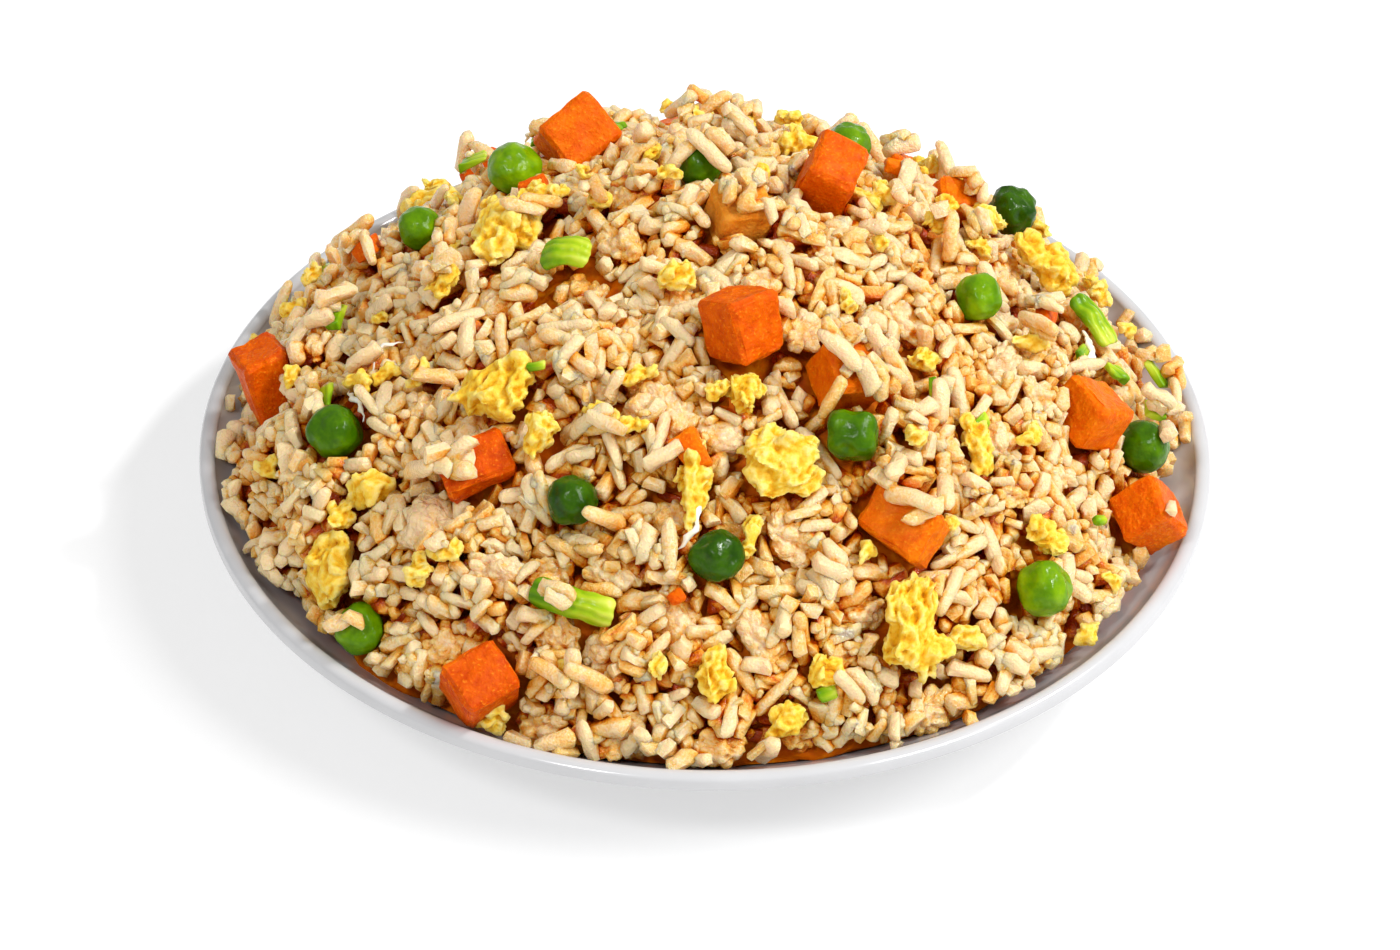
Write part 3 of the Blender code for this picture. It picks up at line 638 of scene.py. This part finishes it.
def sparePlaces(count, gap, hidden, rng, taken):
    shares, steps = areaShares()
    found = []
    for _ in range(scraps["spareTries"]):
        if len(found) == count:
            break
        share = float(np.interp(rng.random(), shares, steps)) * 0.97
        bearing = rng.uniform(0.0, 2.0 * math.pi)
        here = heapPoint(share, bearing)
        if here.y < -5.0 and rng.random() < hidden:  # the photographed side has its own
            continue
        if all((here - other).length > gap for other in taken):
            taken.append(here)
            size = (rng.uniform(*scraps["spareLength"]), rng.uniform(*scraps["spareWidth"]))
            found.append((here.x, here.y, *size, rng.uniform(0, 360)))
    return found


def strandShape(right, back, length, width, turn, rng):
    place = np.array(onHeap(right, back, scraps["strandLift"], turn))
    rings, sides = scraps["strandRings"], scraps["strandSides"]
    angles = [2.0 * math.pi * k / sides for k in range(sides)]
    points = []
    for i in range(rings):
        along = 2.0 * i / (rings - 1) - 1.0
        thick = 0.5 * width * (1.0 - 0.8 * along ** 2) * rng.uniform(0.55, 1.35)
        y = math.sin(2.4 * along + turn) + 0.3 * math.sin(9.0 * along)
        z = 0.7 * math.cos(2.2 * along)
        for angle in angles:
            around = (y + thick * math.cos(angle), z + 0.6 * thick * math.sin(angle))
            points.append((0.5 * length * along, *around))
    first = (-0.5 * length - 0.2, *points[0][1:])
    last = (0.5 * length + 0.2, *points[-1][1:])
    points = np.array([first] + points + [last])
    return points @ place[:3, :3].T + place[:3, 3], ringFaces(rings, sides)


def strandMaterial():
    finish = Finish("eggWhite")
    return finish.skin(
        Base_Color=finish.ramp(finish.grain(1.5, 3.0), scraps["white"]),
        Roughness=0.3 + finish.grain(0.8) * 0.2,
        Specular_IOR_Level=0.2,
        soft=(0.3, (1.0, 0.8, 0.5), 0.001),
        Normal=finish.bump(finish.grain(0.7, 2.0), 0.15, 0.6),
    )


def eggScrap(place, length, width, index, rng):
    bm = bmesh.new()
    for k in range(scraps["blobs"]):
        along = (k / (scraps["blobs"] - 1) - 0.5) * (length - width * 0.6)
        spot = Vector((along, rng.uniform(-0.25, 0.25) * width, rng.uniform(-0.2, 0.3) * width))
        addBlob(bm, spot, width * rng.uniform(0.3, 0.48), rng)
    bm.transform(place)
    return folded(bm, scraps["voxel"], 3.0 * index + 50.0, scraps["fold"])


def cutScrap(place, length, width, thick, rng):  # an uneven block with its edges worn off
    bm = bmesh.new()
    bmesh.ops.create_cube(bm, size=1.0)
    bmesh.ops.scale(bm, vec=(length, width, thick), verts=bm.verts)
    jitter = scraps["jitter"]
    for vertex in bm.verts:
        vertex.co += Vector([rng.uniform(-jitter, jitter) * width for _ in range(3)])
    bm.transform(place @ Matrix.Rotation(rng.uniform(-scraps["lean"], scraps["lean"]), 4, "X"))
    return refined(bm, [
        ("BEVEL", {"width": scraps["bevel"], "segments": 1, "limit_method": "NONE"}),
        ("SUBSURF", {"levels": 2, "subdivision_type": "SIMPLE"}),
        ("SMOOTH", {"factor": 0.5, "iterations": 2}),
    ])


def buildScraps(toppings):
    rng = random.Random(scraps["seed"])
    taken = [Vector(points.mean(axis=0)) for points, _ in toppings]
    spare = {kind: sparePlaces(*wanted, rng, taken) for kind, wanted in scraps["spare"].items()}
    made = {}
    for kind in ("egg", "onion", "carrot"):
        made[kind] = []
        for index, (right, back, length, width, turn) in enumerate(scraps[kind] + spare[kind]):
            place = onHeap(right, back, scraps["lift"], turn)
            if kind == "egg":
                scrap = eggScrap(place, length, width, index, rng)
            elif kind == "onion":
                scrap = ribbed(*cutScrap(place, length, width, scraps["onionThick"], rng), index)
            else:
                thick = scraps["carrotThick"] * width
                points, triangles, normals = cutScrap(place, length, width, thick, rng)
                height = scraps["rough"] * noiseAt(points, 1.2, index)
                scrap = (points + normals * height[:, None], triangles)
            made[kind].append(scrap)
    made["onion"] = addOnions("onionScraps", made["onion"])
    made["strand"] = [strandShape(*strand, rng) for strand in scraps["strands"]]
    materials = bpy.data.materials
    addPiece(triangleMesh("eggScraps", made["egg"]), materials["scrambledEgg"])
    addPiece(triangleMesh("carrotScraps", made["carrot"]), materials["carrotFlesh"])
    addPiece(triangleMesh("eggStrands", made["strand"]), strandMaterial())
    return made["egg"] + made["onion"] + made["carrot"] + made["strand"]


# Rice

rice = {
    "stand": 0.1, "ragged": 1.8, "raggedSize": 7.0, "gap": 0.62, "cell": 8.0, "mostBalls": 60000, "seed": 5,
    "tries": 28000, "rimTries": 3000, "crumbTries": 1800, "reach": 81.9, "topmost": 75.6,
    "patchSize": 5.0, "steepest": 0.75, "pokingShare": 0.08, "poking": (0.3, 0.9),
    # the foot of the heap against the plate: from where to where, and how high the rice may stand there
    "rimBand": (76.0, 81.6), "rimStand": 3.9, "rimRagged": 3.6, "rimSize": 9.0,
    # the painted shade in the gaps between grains: how far a ray looks, and how deep a point must lie to
    # count as fully sunk
    "hemReach": 3.6, "sunkReach": 4.2, "sunkShare": 0.8,
    # right, back, lift, width: where the photographed heap's edge lies higher or lower than even rice would
    "drifts": [
        (-70.0, -34.0, 3.0, 18.0), (78.0, 18.0, -2.8, 22.0), (-67.0, 43.0, -2.2, 14.0),
        (-55.0, 40.0, -2.4, 13.0), (-37.0, 45.0, -2.2, 11.0), (40.0, 44.0, -2.6, 13.0),
        (-2.0, 50.0, -2.0, 10.0),
    ],
    # the dark red-brown low end is the painted shade between grains; higher up runs the rice's own cream to
    # tan
    "colours": [
        (0.0, (0.50, 0.055, 0.0)), (0.22, (0.78, 0.20, 0.001)), (0.46, (0.87, 0.36, 0.036)),
        (0.70, (0.90, 0.50, 0.14)), (1.0, (0.90, 0.64, 0.36)),
    ],
}
core = {  # the rice under the grains that show, coloured dark orange-brown as painted shade in the gaps
    "depth": 5.4, "relief": 0.9, "reliefSize": 2.6, "inset": 4.7, "gap": 0.3, "around": 150, "down": 54,
    "underside": (70.0, 62.0, 53.0, 44.0, 22.0),
    "colours": [(0.3, (0.40, 0.055, 0.0)), (0.55, (0.56, 0.12, 0.0)), (0.75, (0.72, 0.25, 0.004))],
}
clumps = {  # rice that sticks together
    "count": 126, "apart": 8.4, "tries": 3400, "length": (7.0, 13.5), "width": (0.62, 0.86),
    "thickness": (0.42, 0.6), "uneven": 0.38, "unevenSize": 0.75, "pebble": 2.3, "pebbleDepth": 1.9,
    "crumb": 1.1, "crumbDepth": 0.5, "cuts": 12, "clear": 0.5, "sink": 0.8, "lean": 0.25, "outer": 80.6,
    "seed": 17,
}
covered = {  # the share of a topping that grains lie on; the others keep nearly clear
    "carrot_04": 0.25, "carrot_05": 0.5, "carrot_06": 0.45, "carrot_08": 0.36, "carrot_09": 0.48,
    "carrot_10": 0.52, "carrot_11": 0.3, "carrot_12": 0.25, "pea_03": 0.7, "pea_06": 0.38, "pea_08": 0.35,
    "pea_10": 0.4, "pea_11": 0.5, "pea_12": 0.25, "pea_13": 0.35, "onion_02": 0.3,
    "scrap": 0.4, "other": 0.12,
}
grainKinds = {  # balls stand for the grain while it is laid
    "wholeGrains": {
        "length": (7.2, 11.4), "width": (2.1, 3.1), "rings": 9, "sides": 8, "balls": 5,
        "most": 720, "share": 0.16,
    },
    "cutGrains": {
        "length": (4.2, 7.6), "width": (2.2, 3.3), "rings": 6, "sides": 7, "balls": 3,
        "most": 2300, "share": 0.44,
    },
    "riceBits": {
        "length": (2.6, 4.8), "width": (2.1, 3.3), "rings": 4, "sides": 6, "balls": 3,
        "most": 4000, "share": 0.4,
    },
    "riceCrumbs": {
        "length": (1.5, 2.7), "width": (1.4, 2.3), "rings": 2, "sides": 6, "balls": 1,
        "most": 1300, "share": 0.0,
    },
}


def riceMaterial(name, stuck=0.0):  # stuck is 1 for rice that has set into lumps
    finish = Finish(name)
    patches = finish.grain(9.0, 1.0)
    mottle = finish.grain(1.3)
    fine = finish.grain(0.42, 2.0, 0.6)
    # painted shade: the colour turns darker and redder where a grain lies deep between others
    light = 0.76 + 0.12 * stuck + finish.tone() * (0.5 - 0.25 * stuck) + (patches - 0.5) * 0.8
    light = light + (mottle - 0.5) * 0.6 + (fine - 0.5) * 0.7 - finish.stored("deep") * 1.15
    relief = fine * 0.6 + mottle * 0.6
    if stuck:
        # painted shade in the creases between the small granules of a lump: the colour darkens away from each
        # granule's middle, and the same distance sets the bump
        sockets = {"Vector": finish.place(), "Scale": 1.0 / (1.15 * mm), "Randomness": 1.0}
        away = finish.make("ShaderNodeTexVoronoi", {"feature": "F1"}, sockets, "Distance")
        light = light + 0.12 - away * 0.35
        relief = relief - away * 1.0
    return finish.skin(
        Base_Color=finish.ramp(light, rice["colours"]),
        Roughness=0.07 + mottle * 0.26,
        Specular_IOR_Level=0.5,
        soft=(0.55, (1.0, 0.48, 0.16), 0.0032),
        Normal=finish.bump(relief, 0.6, 0.9),
    )


def coreShadeMaterial():
    finish = Finish("riceInside")
    lumps = finish.grain(2.6, 4.0)
    # painted shade: the hidden rice is coloured dark orange-brown, as the gaps between grains look in shade
    return finish.skin(
        Base_Color=finish.ramp(lumps, core["colours"]),
        Roughness=0.45 + lumps * 0.2,
        Specular_IOR_Level=0.05,
        soft=(0.3, (1.0, 0.5, 0.25), 0.0015),
        Normal=finish.bump(lumps, 0.6, 0.8),
    )


def buildCore():
    reach = heap["radius"] - core["inset"]
    foot = plateInside(reach) + core["gap"]
    rise = plateInside(heap["radius"]) + heap["footLift"] + heap["rise"] - core["depth"] - foot
    rings = []
    for i in range(1, core["down"] + 1):
        share = math.sin(0.5 * math.pi * i / core["down"])
        height = foot + rise * max(0.0, 1.0 - share ** heap["power"]) ** heap["rounding"]
        rings.append((share * reach, height))
    rings += [(radius, plateInside(radius) + core["gap"]) for radius in core["underside"]]
    points, triangles = turned(rings, core["around"], (foot + rise, plate["wellFloor"] + core["gap"]))
    above = np.zeros(len(points))
    above[:1 + (core["down"] - 2) * core["around"]] = 1.0
    lift = np.array([clumpAt(Vector(p)) for p in points])
    lift = lift + core["relief"] * 2.0 * noiseAt(points, core["reliefSize"], 2.0)
    out = points - np.array([0.0, 0.0, 8.0])
    out /= np.linalg.norm(out, axis=1)[:, None]
    shape = (points + out * (lift * above)[:, None], triangles)
    addPiece(triangleMesh("riceCore", [shape]), coreShadeMaterial(), ["rice_heap"])
    return shape


def plateWall():  # the plate's sloping inner face, for grains that lie against it
    radii = np.linspace(62.0, plate["radius"] - plate["rimWidth"], 12)
    return turned([(radius, plateInside(radius)) for radius in radii], 120)


def driftAt(place):
    total = 0.0
    for right, back, lift, width in rice["drifts"]:
        total += lift * math.exp(-((place.x - right) ** 2 + (place.y - back) ** 2) / width ** 2)
    return total


def riceTop(place):  # how far above the smooth heap the rice may stand there
    ragged = rice["ragged"] * 2.0 * noise.noise(place / rice["raggedSize"] + Vector((3.0, 9.0, 4.0)))
    return clumpAt(place) + ragged + rice["stand"] + driftAt(place)


def unitBall(cuts):  # a cube blown up to a ball, with even triangles
    bm = bmesh.new()
    bmesh.ops.create_cube(bm, size=2.0)
    bmesh.ops.subdivide_edges(bm, edges=bm.edges, cuts=cuts, use_grid_fill=True)
    bmesh.ops.triangulate(bm, faces=bm.faces)
    points = np.array([vertex.co.normalized() for vertex in bm.verts])
    triangles = np.array([[vertex.index for vertex in face.verts] for face in bm.faces])
    bm.free()
    return points, triangles


def buildClumps(toppings):
    rng = random.Random(clumps["seed"])
    tree = treeOf(toppings)
    shares, steps = areaShares()
    ball, triangles = unitBall(clumps["cuts"])
    made, taken = [], []
    for attempt in range(clumps["tries"]):
        smooth = heapPoint(float(np.interp(rng.random(), shares, steps)), rng.uniform(0.0, 2.0 * math.pi))
        here, normal = heapFrame(smooth.x, smooth.y)
        length = 0.5 * rng.uniform(*clumps["length"])
        size = length * np.array([1.0, rng.uniform(*clumps["width"]), rng.uniform(*clumps["thickness"])])
        turn = Vector((0.0, 0.0, 1.0)).rotation_difference(normal).to_matrix()
        turn = turn @ Matrix.Rotation(rng.uniform(0.0, 6.28), 3, "Z")
        turn = np.array(turn @ Matrix.Rotation(rng.gauss(0.0, clumps["lean"]), 3, "X"))
        if len(made) == clumps["count"] or any((here - other).length < clumps["apart"] for other in taken):
            continue
        centre = here + normal * (riceTop(here) - clumps["sink"] - size[2])
        uneven = 1.0 + clumps["uneven"] * noiseAt(ball, clumps["unevenSize"], attempt)
        points = np.array(centre) + (ball * size * uneven[:, None]) @ turn.T
        across = np.linalg.norm(points[:, :2], axis=1)
        if across.max() > clumps["outer"] or tree.find_nearest(centre, float(size[2]))[0]:
            continue
        if any(tree.find_nearest(Vector(p), clumps["clear"])[0] for p in points[::6].tolist()):
            continue
        out = (ball / size) @ turn.T
        out /= np.linalg.norm(out, axis=1)[:, None]
        relief = clumps["pebbleDepth"] * (pebbles(points, clumps["pebble"], attempt) - 0.75)
        relief += clumps["crumbDepth"] * (pebbles(points, clumps["crumb"], attempt) - 0.75)
        taken.append(here)
        made.append((points + out * relief[:, None], triangles))
    return made


class Pile:  # the balls that stand for the grains laid so far, filed by where they are
    def __init__(self, base, toppings, cover):
        self.base = treeOf(base + [plateWall()])
        self.toppings = treeOf(toppings)
        self.cover = np.repeat(cover, [len(triangles) for _, triangles in toppings])
        self.balls = np.zeros((rice["mostBalls"], 4))
        self.count = 0
        self.cells = {}

    def cell(self, point):
        return tuple(int(math.floor(c / rice["cell"])) for c in point)

    def near(self, point):
        x, y, z = self.cell(point)
        found = []
        for dx in (-1, 0, 1):
            for dy in (-1, 0, 1):
                for dz in (-1, 0, 1):
                    found += self.cells.get((x + dx, y + dy, z + dz), ())
        return self.balls[found]

    def file(self, centres, radii):
        for centre, radius in zip(centres, radii):
            self.balls[self.count] = (*centre, radius)
            self.cells.setdefault(self.cell(centre), []).append(self.count)
            self.count += 1

    def heights(self, spots, radii, normal):  # how far along the normal each ball comes to rest
        heights, allowed, under = [], 1.0, 0.0
        above = 12.0
        lift = Vector(normal) * above
        for spot, radius in zip(spots, radii):
            _, _, _, far = self.base.ray_cast(Vector(spot) + lift, -lift, 30.0)
            if far is None:
                return None, 0.0, 0.0
            height = above - far + 0.7 * radius
            _, _, face, far = self.toppings.ray_cast(Vector(spot) + lift, -lift, 16.0)
            if far is not None:
                under = max(under, above - far)
                height = max(height, above - far + 0.85 * radius)
                allowed = min(allowed, self.cover[face])
            heights.append(height)
        heights = np.array(heights)
        balls = self.near(spots[len(spots) // 2])
        if len(balls):
            away = balls[:, None, :3] - spots[None]
            along = away @ normal
            beside = (away ** 2).sum(axis=2) - along ** 2
            reach = ((balls[:, 3:4] + radii[None]) * rice["gap"]) ** 2 - beside
            touch = np.where(reach > 0.0, along + np.sqrt(np.maximum(reach, 0.0)), -99.0)
            heights = np.maximum(heights, touch.max(axis=0))
        return heights, allowed, under


def layGrain(pile, kind, rng, place, normal, limit, stick):  # stick is how much one end pokes out
    shape = grainKinds[kind]
    length, width = rng.uniform(*shape["length"]), rng.uniform(*shape["width"])
    side = normal.cross(randomWay(rng)).normalized()
    count = shape["balls"]
    half = max(0.3, 0.5 * (length - 0.8 * width))
    offsets = np.linspace(-half, half, count) if count > 1 else np.zeros(1)
    radii = 0.46 * width * (1.0 - 0.12 * (np.abs(offsets) / max(half, 0.1)) ** 2)
    axis, up, here = np.array(side), np.array(normal), np.array(place)
    spots = here + offsets[:, None] * axis
    heights, allowed, under = pile.heights(spots, radii, up)
    if heights is None or 0.5 + 0.9 * noise.noise(place / rice["patchSize"]) > allowed:
        return None
    if allowed < 1.0:  # one layer on a topping
        limit = max(limit, under + 1.25 * width)
    middle, slope = heights[0], 0.0
    if count > 1:  # it rests like a rod on the two balls that hold its middle
        best = -99.0
        for i in range(count):
            for k in range(i + 1, count):
                if offsets[i] <= 0.0 <= offsets[k]:
                    lean = (heights[k] - heights[i]) / (offsets[k] - offsets[i])
                    if heights[i] - lean * offsets[i] > best:
                        best, slope = heights[i] - lean * offsets[i], lean
        middle = best
        if abs(slope) > rice["steepest"]:
            slope = math.copysign(rice["steepest"], slope)
            middle = max(heights - slope * offsets)
    if stick and count > 1:
        slope += rng.choice((-1.0, 1.0)) * stick
        middle += 0.25 * half * stick
    if middle + 0.42 * width + 0.35 * abs(slope) * half > limit:
        return None
    centres = spots + up * (middle + slope * offsets)[:, None]
    for centre, radius in zip(centres, radii):
        across = math.hypot(centre[0], centre[1])
        if across > rice["reach"] or not plateInside(across) + 0.8 * radius < centre[2] < rice["topmost"]:
            return None
        nearest = pile.toppings.find_nearest(Vector(centre), 4.0)
        if nearest[3] is not None and nearest[3] < 0.78 * radius:
            return None
    pile.file(centres, radii)
    direction = Vector(axis + up * slope).normalized()
    return {
        "middle": here + up * middle, "direction": np.array(direction), "length": length, "width": width,
        "side": np.array(Vector(up).cross(direction).normalized()),
    }


def pileUp(base, toppings, cover):
    rng = random.Random(rice["seed"])
    pile = Pile(base, toppings, cover)
    shares, steps = areaShares()
    laid = {kind: [] for kind in grainKinds}
    weights = [shape["share"] for shape in grainKinds.values()]
    stages = ["heap"] * rice["tries"] + ["foot"] * rice["rimTries"] + ["crumbs"] * rice["crumbTries"]
    for stage in stages:
        kind = "riceCrumbs" if stage == "crumbs" else rng.choices(list(grainKinds), weights)[0]
        if len(laid[kind]) >= grainKinds[kind]["most"]:
            continue
        bearing = rng.uniform(0.0, 2.0 * math.pi)
        if stage == "foot":  # against the plate
            across = rng.uniform(*rice["rimBand"])
            place = Vector((across * math.cos(bearing), across * math.sin(bearing), plateInside(across)))
            normal = Vector((-0.5 * math.cos(bearing), -0.5 * math.sin(bearing), 0.87))
            ragged = rice["rimRagged"] * noise.noise(place / rice["rimSize"] + Vector((5.0, 2.0, 8.0)))
            limit = rice["rimStand"] + ragged + driftAt(place)
        else:
            smooth = heapPoint(float(np.interp(rng.random(), shares, steps)) * 0.996, bearing)
            place, normal = heapFrame(smooth.x, smooth.y)
            limit = riceTop(place)
        pokes = rng.random() < rice["pokingShare"] and stage != "crumbs"
        stick = rng.uniform(*rice["poking"]) if pokes else 0.0
        grain = layGrain(pile, kind, rng, place, normal, limit + 1.1 * stick, stick)
        if grain:
            laid[kind].append(grain)
    return laid


def grainRings(kind, count, rng):  # where the rings lie along each grain, and how thick it is there
    rings = grainKinds[kind]["rings"]
    if kind == "wholeGrains":
        along = np.sin(0.5 * math.pi * np.linspace(-1.0, 1.0, rings + 2))[1:-1] * 0.985
        blunt = rng.uniform(3.2, 9.0, (count, 1))
        return np.repeat(along[None], count, 0), (1.0 - np.abs(along)[None] ** blunt) ** 0.5
    if kind == "riceCrumbs":
        return np.tile([-0.45, 0.45], (count, 1)), np.full((count, 2), 0.92)
    inner = np.linspace(-0.85, 0.85, rings - 2)
    along = np.tile(np.concatenate([[-0.99], inner, [0.99]]), (count, 1))
    thick = np.ones((count, rings))
    for ring, beside, cut in ((0, 1, 0.62), (rings - 1, rings - 2, 0.85)):  # a cut end is flat
        flat = rng.random(count) < cut
        thick[:, ring] = np.where(flat, rng.uniform(0.45, 0.78, count), rng.uniform(0.28, 0.42, count))
        thick[:, beside] = np.where(flat, rng.uniform(0.86, 1.05, count), rng.uniform(0.70, 0.85, count))
    return along, thick


def boxy(value, power):
    return np.sign(value) * np.abs(value) ** power


def grainShapes(kind, grains, seed):
    shape = grainKinds[kind]
    rings, sides, count = shape["rings"], shape["sides"], len(grains)
    rng = np.random.default_rng(seed)
    gather = {key: np.array([grain[key] for grain in grains]) for key in grains[0]}
    direction, side = gather["direction"], gather["side"]
    up = np.cross(direction, side)
    along, thick = grainRings(kind, count, rng)
    turn = np.arange(sides) * 2.0 * math.pi / sides
    a, b, c, roll = rng.uniform(0, 6.28, (4, count, 1, 1))
    t, s = turn[None, None], along[:, :, None]
    whole = kind == "wholeGrains"
    lumps = 0.06 * np.sin(2 * t + a + 3 * s) + 0.05 * np.sin(3 * t + b - 4 * s) + 0.05 * np.sin(t + c + 5 * s)
    lumps = 1.0 + (1.0 if whole else 2.0) * lumps
    jitter = 0.07 if whole else 0.1
    lumps = lumps + rng.uniform(-jitter, jitter, (count, rings, sides))
    half, long = 0.5 * gather["width"][:, None, None], gather["length"][:, None, None]
    radius = half * thick[:, :, None] * lumps
    bend = rng.uniform(-0.04, 0.11, (count, 1, 1)) * long
    skew = rng.uniform(-0.6, 0.6, (count, 1, 1)) * half * (0.3 if whole else 1.0)
    power = 1.0 if whole else 0.85
    flat = rng.uniform(0.72, 0.95, (count, 1, 1))
    wide, tall = radius * boxy(np.cos(t), power), flat * radius * boxy(np.sin(t), power)
    x = 0.5 * long * s + skew * np.cos(t + roll) * s * np.abs(s) * thick[:, :, None]
    y = wide * np.cos(roll) - tall * np.sin(roll)
    z = wide * np.sin(roll) + tall * np.cos(roll) - bend * (s ** 2 - 0.3)
    ringPoints = np.stack([x, y, z], axis=-1).reshape(count, rings * sides, 3)
    ends = np.zeros((count, 2, 3))
    ends[:, 0, 0] = -0.5 * gather["length"]
    ends[:, 1, 0] = 0.5 * gather["length"]
    ends[:, :, 2] = -bend[:, 0] * 0.7
    local = np.concatenate([ends[:, :1], ringPoints, ends[:, 1:]], axis=1)
    frameAxes = np.stack([direction, side, up], axis=1)
    points = np.einsum("gvi,gij->gvj", local, frameAxes) + gather["middle"][:, None]
    starts = np.arange(count) * (rings * sides + 2)
    triangles = ringFaces(rings, sides)[None] + starts[:, None, None]
    return points.reshape(-1, 3), triangles.reshape(-1, 3)


def gapShadeAt(points, normals, tree):  # painted shade: 0 in the open on top, about 1 deep between grains and below the top layer, where shade falls
    reach = rice["hemReach"]
    shares = np.zeros(len(points))
    for i, (point, normal) in enumerate(zip(points.tolist(), normals.tolist())):
        point, normal = Vector(point), Vector(normal)
        smooth, out = heapFrame(point.x, point.y)
        sunk = (riceTop(smooth) - (point - smooth).dot(out) - 0.6) / rice["sunkReach"]
        shares[i] = rice["sunkShare"] * min(max(sunk, 0.0), 1.0)
        start = point + normal * 0.06
        for way, weight in ((out + 0.2 * normal, 0.25), (out + 1.3 * normal, 0.18), (normal, 0.12)):
            far = tree.ray_cast(start, way, reach)[3]
            if far is not None:
                shares[i] += weight * (1.0 - 0.5 * far / reach)
    return shares


def addRice(name, shape, tree, material):
    mesh = triangleMesh(name, [shape])
    normals = np.empty(3 * len(shape[0]), np.float32)
    mesh.vertices.foreach_get("normal", normals)
    # the painted shade between grains, kept at each point for the material to read
    addValues(mesh, "deep", gapShadeAt(shape[0], normals.reshape(-1, 3), tree))
    addPiece(mesh, material, ["rice_heap"])


def buildRice(toppings, cover):
    inside = buildCore()
    stuck = buildClumps(toppings)
    laid = pileUp([inside] + stuck, toppings, cover)
    half = len(stuck) // 2
    shapes = {"stickyRice": joined(stuck[:half]), "stickyRiceMore": joined(stuck[half:])}
    for seed, (kind, grains) in enumerate(laid.items()):
        shapes[kind] = grainShapes(kind, grains, seed)
    tree = treeOf([inside] + toppings + list(shapes.values()))
    grainSkin, lumpSkin = riceMaterial("cookedRice"), riceMaterial("stickyRice", 1.0)
    for name, shape in shapes.items():
        addRice(name, shape, tree, lumpSkin if name.startswith("sticky") else grainSkin)
    print("clumps:", len(stuck), "grains:", {kind: len(grains) for kind, grains in laid.items()})


# Floor, camera and light

studio = {
    "focal": 100.0, "elevation": 39.26, "roll": 1.05, "distance": 0.6564, "right": -0.00096, "up": -0.00669,
    "target": 0.0228, "aim": (0.0, 0.0, 0.03), "fill": 0.48,
    "floor": (0.58, 0.58, 0.58), "paper": (0.56, 0.56, 0.56), "floorReach": 6.0, "glow": 0.45,
    # place in metres, width and power
    "lamps": {
        "keyLight": ((0.70, 0.10, 0.92), 0.14, 7.3),
        "softLight": ((0.62, -0.42, 0.86), 0.34, 5.4),
        "frontLight": ((-0.30, -0.58, 0.80), 0.16, 2.6),
    },
}


def aimedLight(name, place, size, power):
    light = bpy.data.lights.new(name, "AREA")
    light.shape, light.size, light.energy = "DISK", size, power
    lamp = bpy.data.objects.new(name, light)
    lamp.location = place
    lamp.rotation_euler = (Vector(place) - Vector(studio["aim"])).to_track_quat("Z", "Y").to_euler()
    bpy.context.scene.collection.objects.link(lamp)


def buildStudio():
    scene = bpy.context.scene
    finish = Finish("studioFloor")
    material = finish.skin(
        Base_Color=finish.blend(finish.grain(40.0), studio["paper"], studio["floor"]),
        Roughness=0.9,
        Specular_IOR_Level=0.1,
        Emission_Color=(1.0, 1.0, 1.0, 1.0),
        Emission_Strength=studio["glow"],  # a table lit from below
    )
    mesh = bpy.data.meshes.new("floor")
    far = studio["floorReach"]
    mesh.from_pydata([(-far, -far, 0), (far, -far, 0), (far, far, 0), (-far, far, 0)], [], [(0, 1, 2, 3)])
    mesh.materials.append(material)
    floor = bpy.data.objects.new("floor", mesh)
    scene.collection.objects.link(floor)

    tilt, roll = math.radians(studio["elevation"]), math.radians(studio["roll"])
    forward = Vector((0.0, math.cos(tilt), -math.sin(tilt)))
    level = Vector((1.0, 0.0, 0.0))
    upright = level.cross(forward)
    right = level * math.cos(roll) + upright * math.sin(roll)
    up = upright * math.cos(roll) - level * math.sin(roll)
    spot = right * studio["right"] + up * studio["up"] - forward * studio["distance"]
    spot.z += studio["target"]
    camera = bpy.data.cameras.new("camera")
    camera.lens, camera.sensor_width = studio["focal"], 36.0
    viewer = bpy.data.objects.new("camera", camera)
    viewer.matrix_world = Matrix.Translation(spot) @ Matrix((right, up, -forward)).transposed().to_4x4()
    scene.collection.objects.link(viewer)
    scene.camera = viewer

    for name, lamp in studio["lamps"].items():
        aimedLight(name, *lamp)
    world = bpy.data.worlds.new("studio")
    world.use_nodes = True
    sky = world.node_tree.nodes["Background"].inputs
    sky["Color"].default_value = (1.0, 1.0, 1.0, 1.0)
    sky["Strength"].default_value = studio["fill"]
    scene.world = world
    scene.view_settings.view_transform = "Standard"
    scene.cycles.max_bounces, scene.cycles.diffuse_bounces, scene.cycles.glossy_bounces = 5, 3, 2


for leftOver in [thing for thing in bpy.data.objects if thing.type in ("LIGHT", "CAMERA")]:
    bpy.data.objects.remove(leftOver, do_unlink=True)
buildStudio()
print("studio: done")
buildPlate()
print("plate: done")
toppings = buildPeas() + buildCarrots() + buildEggs() + buildOnions()
names = nodesOf("pea") + nodesOf("carrot") + nodesOf("egg") + nodesOf("onion")
cover = [covered.get(name, covered["other"]) for name in names]
print("toppings:", len(toppings))
small = buildScraps(toppings)
cover += [covered["scrap"]] * len(small)
toppings += small
print("scraps:", len(small))
buildRice(toppings, cover)
